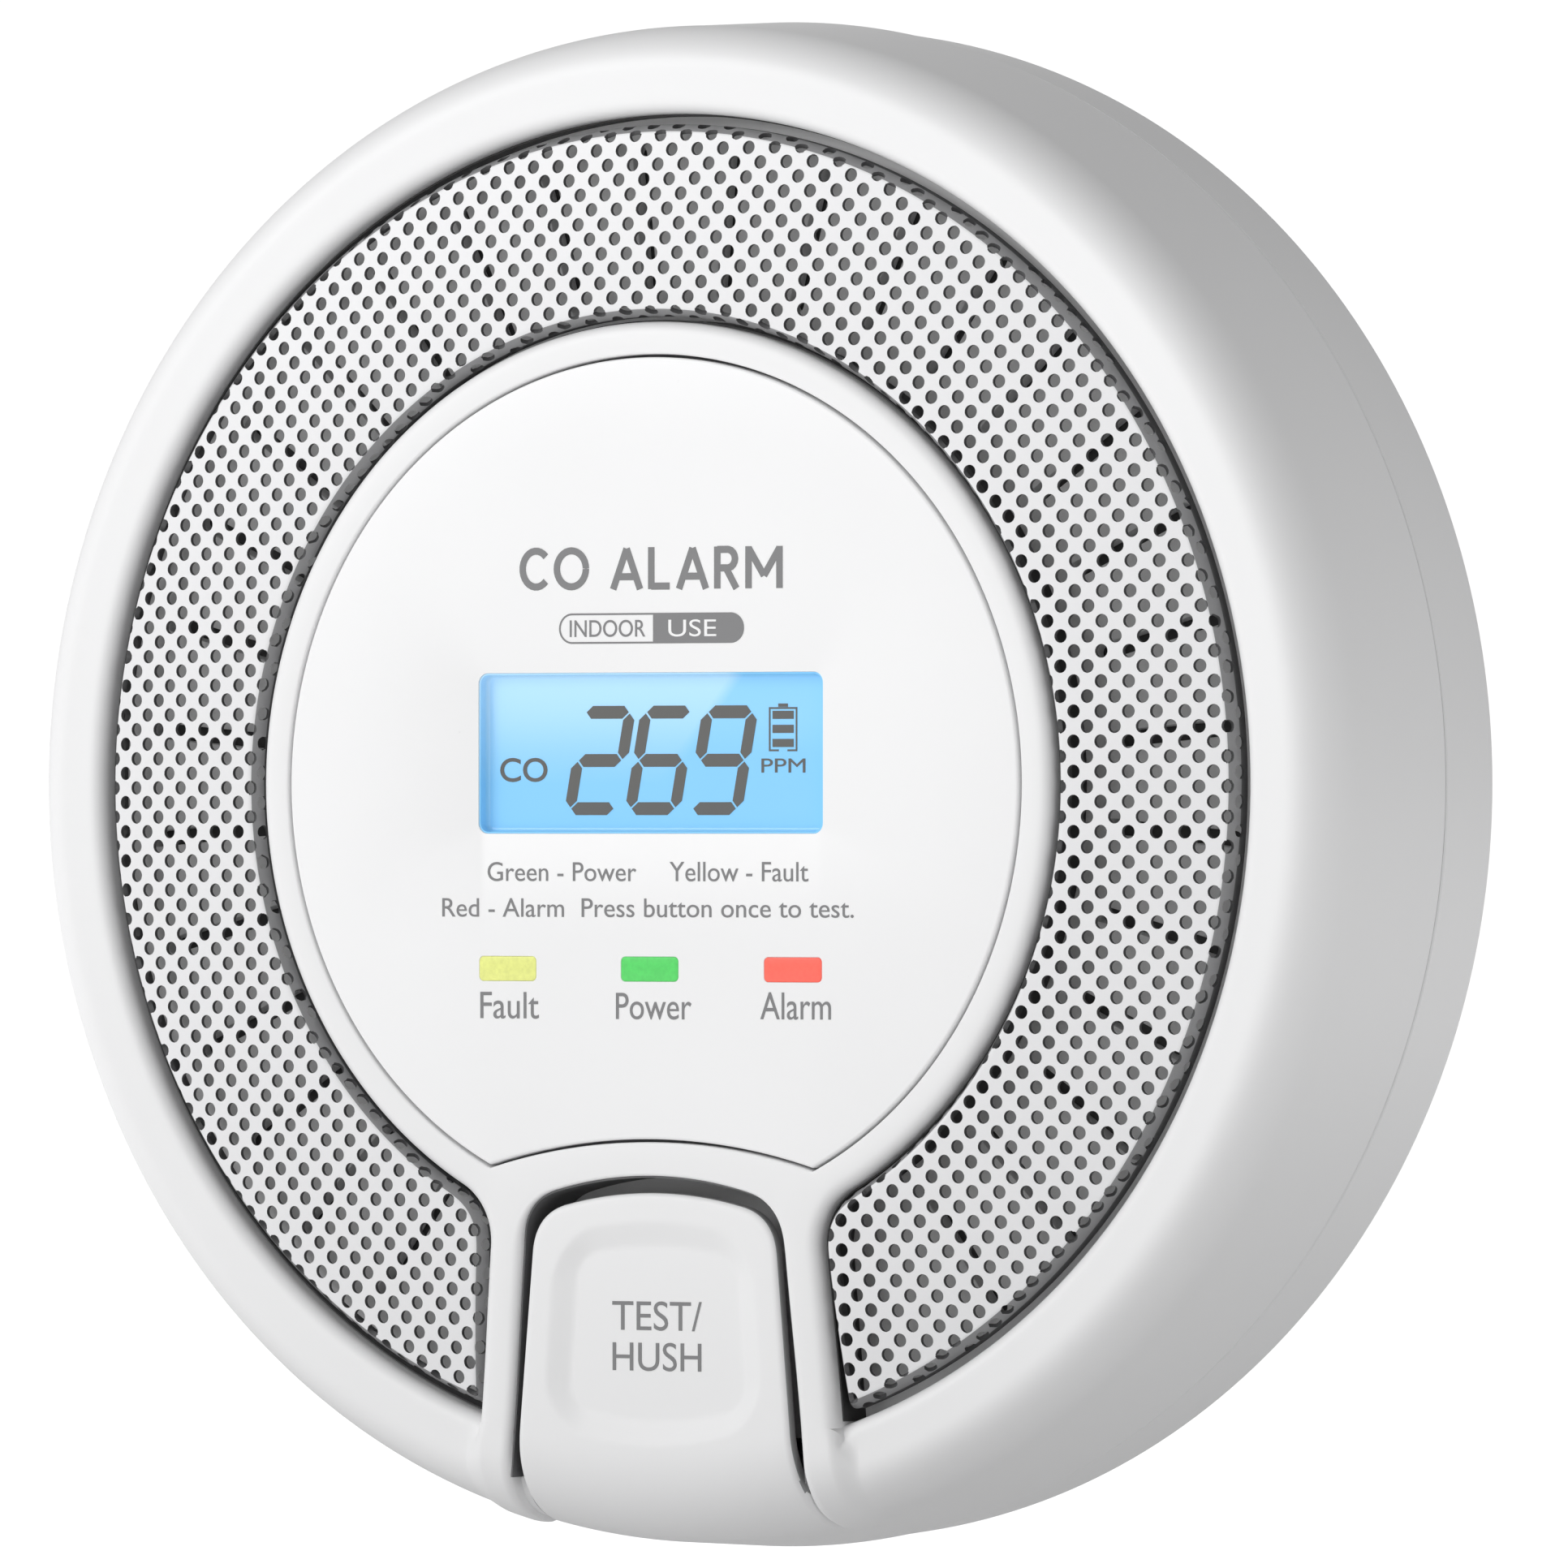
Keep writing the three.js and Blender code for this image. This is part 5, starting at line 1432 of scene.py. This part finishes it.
def blue_display():
    """Lit blue display with a painted reflection: lighter above a slanting line, and more so towards the
    top.
    """
    slant, top = -1.218, 0.0085
    material, tree, bsdf = shader("display_blue_painted_glare", (0.27, 0.62, 0.95), 0.12)
    split = add_node(tree, "SeparateXYZ", object_place(tree))
    across, height = split.outputs["X"], split.outputs["Z"]
    # painted reflection: a glare band above a slanting line, stronger towards the top
    line_side = calculated(tree, "MULTIPLY_ADD", across, slant, height)
    edge = mapped(tree, line_side, 0.0, 1.0, -0.0012, 0.0003)
    painted_glare = calculated(tree, "MULTIPLY", edge, mapped(tree, height, 0.0, 1.0, 0.0, top))
    lit(tree, bsdf, ramp(tree, painted_glare, (0.26, 0.62, 0.95), (0.48, 0.76, 1.0), 0.0, 1.0), 0.11)
    return material


def lens(name, color):
    """Faintly speckled and lit indicator window."""
    material, tree, bsdf = shader(name, color, 0.28)
    speckle = noise(tree, 2600.0, 2.0, 0.6)
    lit(tree, bsdf, ramp(tree, speckle, dimmed(color, 0.88), color), 0.15)
    add_bump(tree, bsdf, speckle, 0.2, 10)
    return material


WHITE = grained_plastic("white_plastic", (0.86, 0.86, 0.865), 0.42)
BUTTON_WHITE = grained_plastic("button_plastic", (0.86, 0.86, 0.865), 0.5, 4200.0)
PANEL_WHITE = grained_plastic("panel_plastic", (0.90, 0.90, 0.905), 0.3, 1500.0, 2)
FLOOR_GREY = grained_plastic("baffle_plastic", (0.85, 0.85, 0.855), 0.6)
# painted shade for the gaps round the faceplate and beside the button
MID_PAINTED_SHADE = grained_plastic("painted_shade_mid", (0.16, 0.16, 0.165), 0.6)
# painted shade on the button's flanks
FLANK_PAINTED_SHADE = grained_plastic("button_flank_painted_shade", (0.3, 0.3, 0.303), 0.5)
# painted shade at the bottom of the button's bay
PALE_PAINTED_SHADE = grained_plastic("painted_shade_pale", (0.62, 0.62, 0.625), 0.6)
# painted shade: near-black strips put in the gaps
DARK_PAINTED_SHADE = grained_plastic("painted_shade_dark", (0.05, 0.05, 0.051), 0.6)
SHEET = grained_plastic("grille_paint", (0.80, 0.80, 0.81), 0.33, 3500.0, 6)
# painted shade on the grille's hole walls, back and skirt
SHEET_PAINTED_SHADE = grained_plastic("grille_inside_painted_shade", (0.10, 0.10, 0.102), 0.5)
# painted shade on the grille's rolled edge
SHEET_EDGE_PAINTED_SHADE = grained_plastic("grille_edge_painted_shade", (0.27, 0.27, 0.275), 0.35, 3500.0, 6)
INK = grained_plastic("grey_ink", (0.215, 0.215, 0.22), 0.5, 3000.0, 2)
PALE_INK = grained_plastic("white_ink", (0.9, 0.9, 0.9), 0.5, 3000.0, 2)
SEGMENT = grained_plastic("display_segment", (0.115, 0.115, 0.11), 0.35, 3000.0, 1)
LED_BODY = grained_plastic("led_body", (0.8, 0.8, 0.76), 0.25, 3000.0, 3)
LIGHT_GUIDE = grained_plastic("light_guide", (0.82, 0.84, 0.86), 0.2, 2500.0, 2)
GREY_PLASTIC = grained_plastic("grey_plastic", (0.3, 0.31, 0.32), 0.5)
BLACK_PLASTIC = grained_plastic("black_plastic", (0.03, 0.03, 0.032), 0.45)
SLEEVE = grained_plastic("capacitor_sleeve", (0.03, 0.05, 0.12), 0.3, 2500.0, 3)
GLASS_GREY = grained_plastic("panel_glass", (0.35, 0.42, 0.38), 0.08, 800.0, 1)
FERRITE = grained_plastic("ferrite", (0.05, 0.048, 0.046), 0.7, 1800.0, 30)
CLOTH = grained_plastic("filter_cloth", (0.72, 0.72, 0.70), 0.9, 2200.0, 60)
STEEL = metal("plated_steel", (0.62, 0.62, 0.64), 0.28)
BRASS = metal("brass", (0.72, 0.55, 0.25), 0.3)
SENSOR_SHELL = metal("sensor_shell", (0.5, 0.5, 0.5), 0.35)
SILICONE = layered_rubber()
BOARD = circuit_laminate()

CAD_LOOKS = {  # nodes that keep their CAD shape
    "lcd_panel": GLASS_GREY, "lcd_backlight": LIGHT_GUIDE, "zebra_connector": SILICONE,
    "lcd_holder": GREY_PLASTIC, "led_yellow": LED_BODY, "led_green": LED_BODY, "led_red": LED_BODY,
    "circuit_board": BOARD, "co_sensor": SENSOR_SHELL, "sensor_filter": CLOTH,
    "sounder_chamber": BLACK_PLASTIC, "piezo_disc": BRASS, "tact_switch": BLACK_PLASTIC,
    "switch_plunger": GREY_PLASTIC, "microcontroller": BLACK_PLASTIC, "crystal": STEEL,
    "boost_inductor": FERRITE, "capacitor_1": SLEEVE, "capacitor_2": SLEEVE, "battery_spring": STEEL,
    "battery_contact": STEEL,
}

# ---------------------------------------------------------------- the pieces


def front_pieces():
    # the deck, bay floor and gap strips are grey to near-black: painted shade in the gaps
    for name, mesh, look in (
            ("cover_bezel", bezel(), WHITE), ("cover_frame", keyhole_frame(), WHITE),
            ("cover_floor", channel_floor(), FLOOR_GREY), ("cover_ledges", bay_ledges(), WHITE),
            ("cover_deck", deck(), MID_PAINTED_SHADE), ("bay_floor", bay_floor(), PALE_PAINTED_SHADE),
            ("gap_painted_shade", gap_shade_strips(), DARK_PAINTED_SHADE), ("bay_shade_strip", bay_shade_strip(), MID_PAINTED_SHADE)):
        piece(name, mesh, [look], "housing", "cover_plastic", "front_cover")
    sheet_looks = [SHEET, SHEET_PAINTED_SHADE, SHEET_EDGE_PAINTED_SHADE]
    piece("grille_mesh", grille(), sheet_looks, "housing", "grille_sheet", "grille", SHEET_SMOOTH)
    piece("faceplate_panel", faceplate(), [PANEL_WHITE], "housing", "faceplate_plastic", "faceplate")
    piece("button_flap", test_button(), [BUTTON_WHITE, FLANK_PAINTED_SHADE], "button", "cover_plastic", "test_button")


def rear_pieces():
    for name, mesh, body, replaced in (
            ("rear_wall", rear_shell(), "housing", "rear_housing"),
            ("rear_plate", rear_plate(), "housing", "rear_housing"),
            ("bracket_ring", bracket(), "bracket", "mounting_bracket"),
            ("door_panel", battery_door(), "door", "battery_door")):
        piece(name, mesh, [WHITE], body, "cover_plastic", replaced)
    for number, angle in enumerate(SCREW_ANGLES, 1):
        name = f"screw_{number}"
        piece(name, housing_screw(angle, name), [STEEL], "housing", "steel", f"housing_screw_{number}")
    piece("battery_cell", battery_cell(), [battery_wrap()], "housing", "battery_wrap", "battery")


def display_pieces():
    piece("display_face", display_tray(), [blue_display()], "housing", "display_glass", "lcd_window")
    piece("display_marks", display_marks(), [SEGMENT], "housing", "lcd_glass")
    for tint, color, x in (("yellow", (0.76, 0.80, 0.24), -LED_PITCH), ("green", (0.09, 0.66, 0.13), 0.0),
                           ("red", (0.98, 0.14, 0.10), LED_PITCH)):
        look = lens(f"lens_{tint}", color)
        piece(f"indicator_{tint}", led_window(x), [look], "housing", f"lens_{tint}", f"led_window_{tint}")


def lettered(rows, body, slot, height):
    """Lettering on one surface; a row is name, text, box (x0, x1, z0, z1), weight and ink."""
    for name, text, box, weight, ink in rows:
        level = height + (PRINT_DEPTH if ink is PALE_INK else 0)  # pale letters lie on the badge's ink
        piece(name, lettering(name, text, box, level, weight), [ink], body, slot, smooth=LETTER_SMOOTH)


def printed_pieces():
    panel = ("housing", "faceplate_plastic")
    lettered((
        ("badge_left", "INDOOR", (-6.7, -0.35, 10.5, 11.72), 0.002, INK),
        ("badge_right", "USE", (1.6, 5.6, 10.5, 11.72), -0.002, PALE_INK),
        ("legend_green", "Green - Power", (-13.64, -1.11, -6.98, -5.6), 0.0, INK),
        ("legend_yellow", "Yellow - Fault", (1.68, 13.24, -6.98, -5.58), 0.0, INK),
        ("legend_red", "Red - Alarm", (-17.49, -7.19, -9.55, -8.2), 0.0, INK),
        ("legend_test", "Press button once to test.", (-5.7, 17.0, -9.55, -8.2), 0.0, INK),
        ("label_fault", "Fault", (-14.26, -9.31, -16.85, -14.93), 0.0, INK),
        ("label_power", "Power", (-2.81, 3.51, -16.85, -14.95), 0.0, INK),
        ("label_alarm", "Alarm", (9.26, 15.12, -16.8, -14.85), 0.0, INK),
    ), *panel, CROWN + PRINT_RAISE)
    piece("badge_print", badge(), [INK], *panel)
    title = block_title("title_print", "CO ALARM", (-10.8, 11.1, 13.9, 16.9), 0.17)
    piece("title_print", title, [INK], *panel)
    lettered((
        ("display_gas", "CO", (-13.2, -9.2, 0.14, 1.87), 0.01, SEGMENT),
        ("display_unit", "PPM", (8.75, 12.4, 0.78, 1.78), 0.0, SEGMENT),
    ), "housing", "lcd_glass", CROWN - DISPLAY_DEPTH + PRINT_RAISE)
    lettered((
        ("button_test", "TEST/", (-3.75, 3.75, -39.1, -37.0), 0.0, INK),
        ("button_hush", "HUSH", (-3.72, 3.72, -42.0, -39.95), 0.0, INK),
    ), "button", "cover_plastic", BUTTON_FRONT - DISH_DEPTH + PRINT_RAISE)


def cad_pieces():
    for node, look in CAD_LOOKS.items():
        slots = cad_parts[node].data.materials
        if slots:
            slots[0] = look
        else:
            slots.append(look)


# ---------------------------------------------------------------- stage

CAMERA_LENS = 408.44  # mm, on a 36 mm sensor
CAMERA_TURN = math.radians(31.12)  # from the front towards the right
CAMERA_RISE = math.radians(-0.15)
CAMERA_DISTANCE = 1.26699
CAMERA_AIM = Vector((0.010255, -FRONT * MM, -0.000031))
FLOOR_HALF = 4.0
FLOOR_LEVEL = -0.075
LIGHTS = (  # name, place, size, power
    ("key", (-0.9, -1.2, 0.75), 1.0, 10.6),
    ("top", (0.5, -0.7, 1.3), 0.9, 1.2),
    ("fill", (0.1, -2.2, 0.35), 0.8, 3.6),
)


def aimed(name, data, spot, aim):
    """Camera or light at a spot, looking at another spot."""
    thing = bpy.data.objects.new(name, data)
    thing.location = spot
    thing.rotation_euler = (aim - spot).to_track_quat("-Z", "Y").to_euler()
    bpy.context.scene.collection.objects.link(thing)
    return thing


def camera():
    data = bpy.data.cameras.new("camera")
    data.sensor_width = 36.0
    data.sensor_fit = "HORIZONTAL"
    data.lens = CAMERA_LENS
    data.clip_start = 0.05
    data.clip_end = 50
    level = math.cos(CAMERA_RISE)
    away = Vector((math.sin(CAMERA_TURN) * level, -math.cos(CAMERA_TURN) * level, math.sin(CAMERA_RISE)))
    bpy.context.scene.camera = aimed("camera", data, CAMERA_AIM + away * CAMERA_DISTANCE, CAMERA_AIM)


def lit_floor():
    """Pale floor that turns into a lit white sweep away from the object."""
    material, tree, bsdf = shader("pale_floor", (0.6, 0.6, 0.6), 0.8)
    reach = add_node(tree, "VectorMath", object_place(tree))
    reach.operation = "LENGTH"
    glow = mapped(tree, reach.outputs["Value"], 0.14, 0.86, 0.11, 0.24)
    bsdf.inputs["Emission Color"].default_value = (1, 1, 1, 1)
    feed(tree, bsdf, Emission_Strength=glow)
    return material


def studio_world(tree):
    """Soft light, brighter on the key light's side, with a white backdrop ahead of the camera."""
    ahead = (-math.sin(CAMERA_TURN), math.cos(CAMERA_TURN), 0.0)
    direction = add_node(tree, "TexCoord").outputs["Generated"]
    dot = add_node(tree, "VectorMath", direction)
    dot.operation = "DOT_PRODUCT"
    dot.inputs[1].default_value = ahead
    backdrop = mapped(tree, dot.outputs["Value"], 0.0, 1.05, 0.93, 0.99)
    split = add_node(tree, "SeparateXYZ", direction)
    room = mapped(tree, split.outputs["X"], 0.24, 0.47, 1.0, -1.0)
    back = tree.nodes["Background"]
    back.inputs["Color"].default_value = (1, 1, 1, 1)
    feed(tree, back, Strength=calculated(tree, "MAXIMUM", backdrop, room))


def stage():
    mesh = bpy.data.meshes.new("floor")
    corners = [(x, z, FLOOR_LEVEL) for x, z in box_loop(-FLOOR_HALF, FLOOR_HALF, -FLOOR_HALF, FLOOR_HALF)]
    mesh.from_pydata(corners, [], [(0, 1, 2, 3)])
    mesh.materials.append(lit_floor())
    floor = bpy.data.objects.new("floor", mesh)
    scene = bpy.context.scene
    scene.collection.objects.link(floor)
    scene.world = bpy.data.worlds.new("studio")
    scene.world.use_nodes = True
    studio_world(scene.world.node_tree)
    scene.view_settings.view_transform = "Standard"
    for name, spot, size, power in LIGHTS:
        data = bpy.data.lights.new(name, "AREA")
        data.size = size
        data.energy = power
        aimed(name, data, Vector(spot), Vector())


camera()
front_pieces()
rear_pieces()
display_pieces()
printed_pieces()
cad_pieces()
stage()
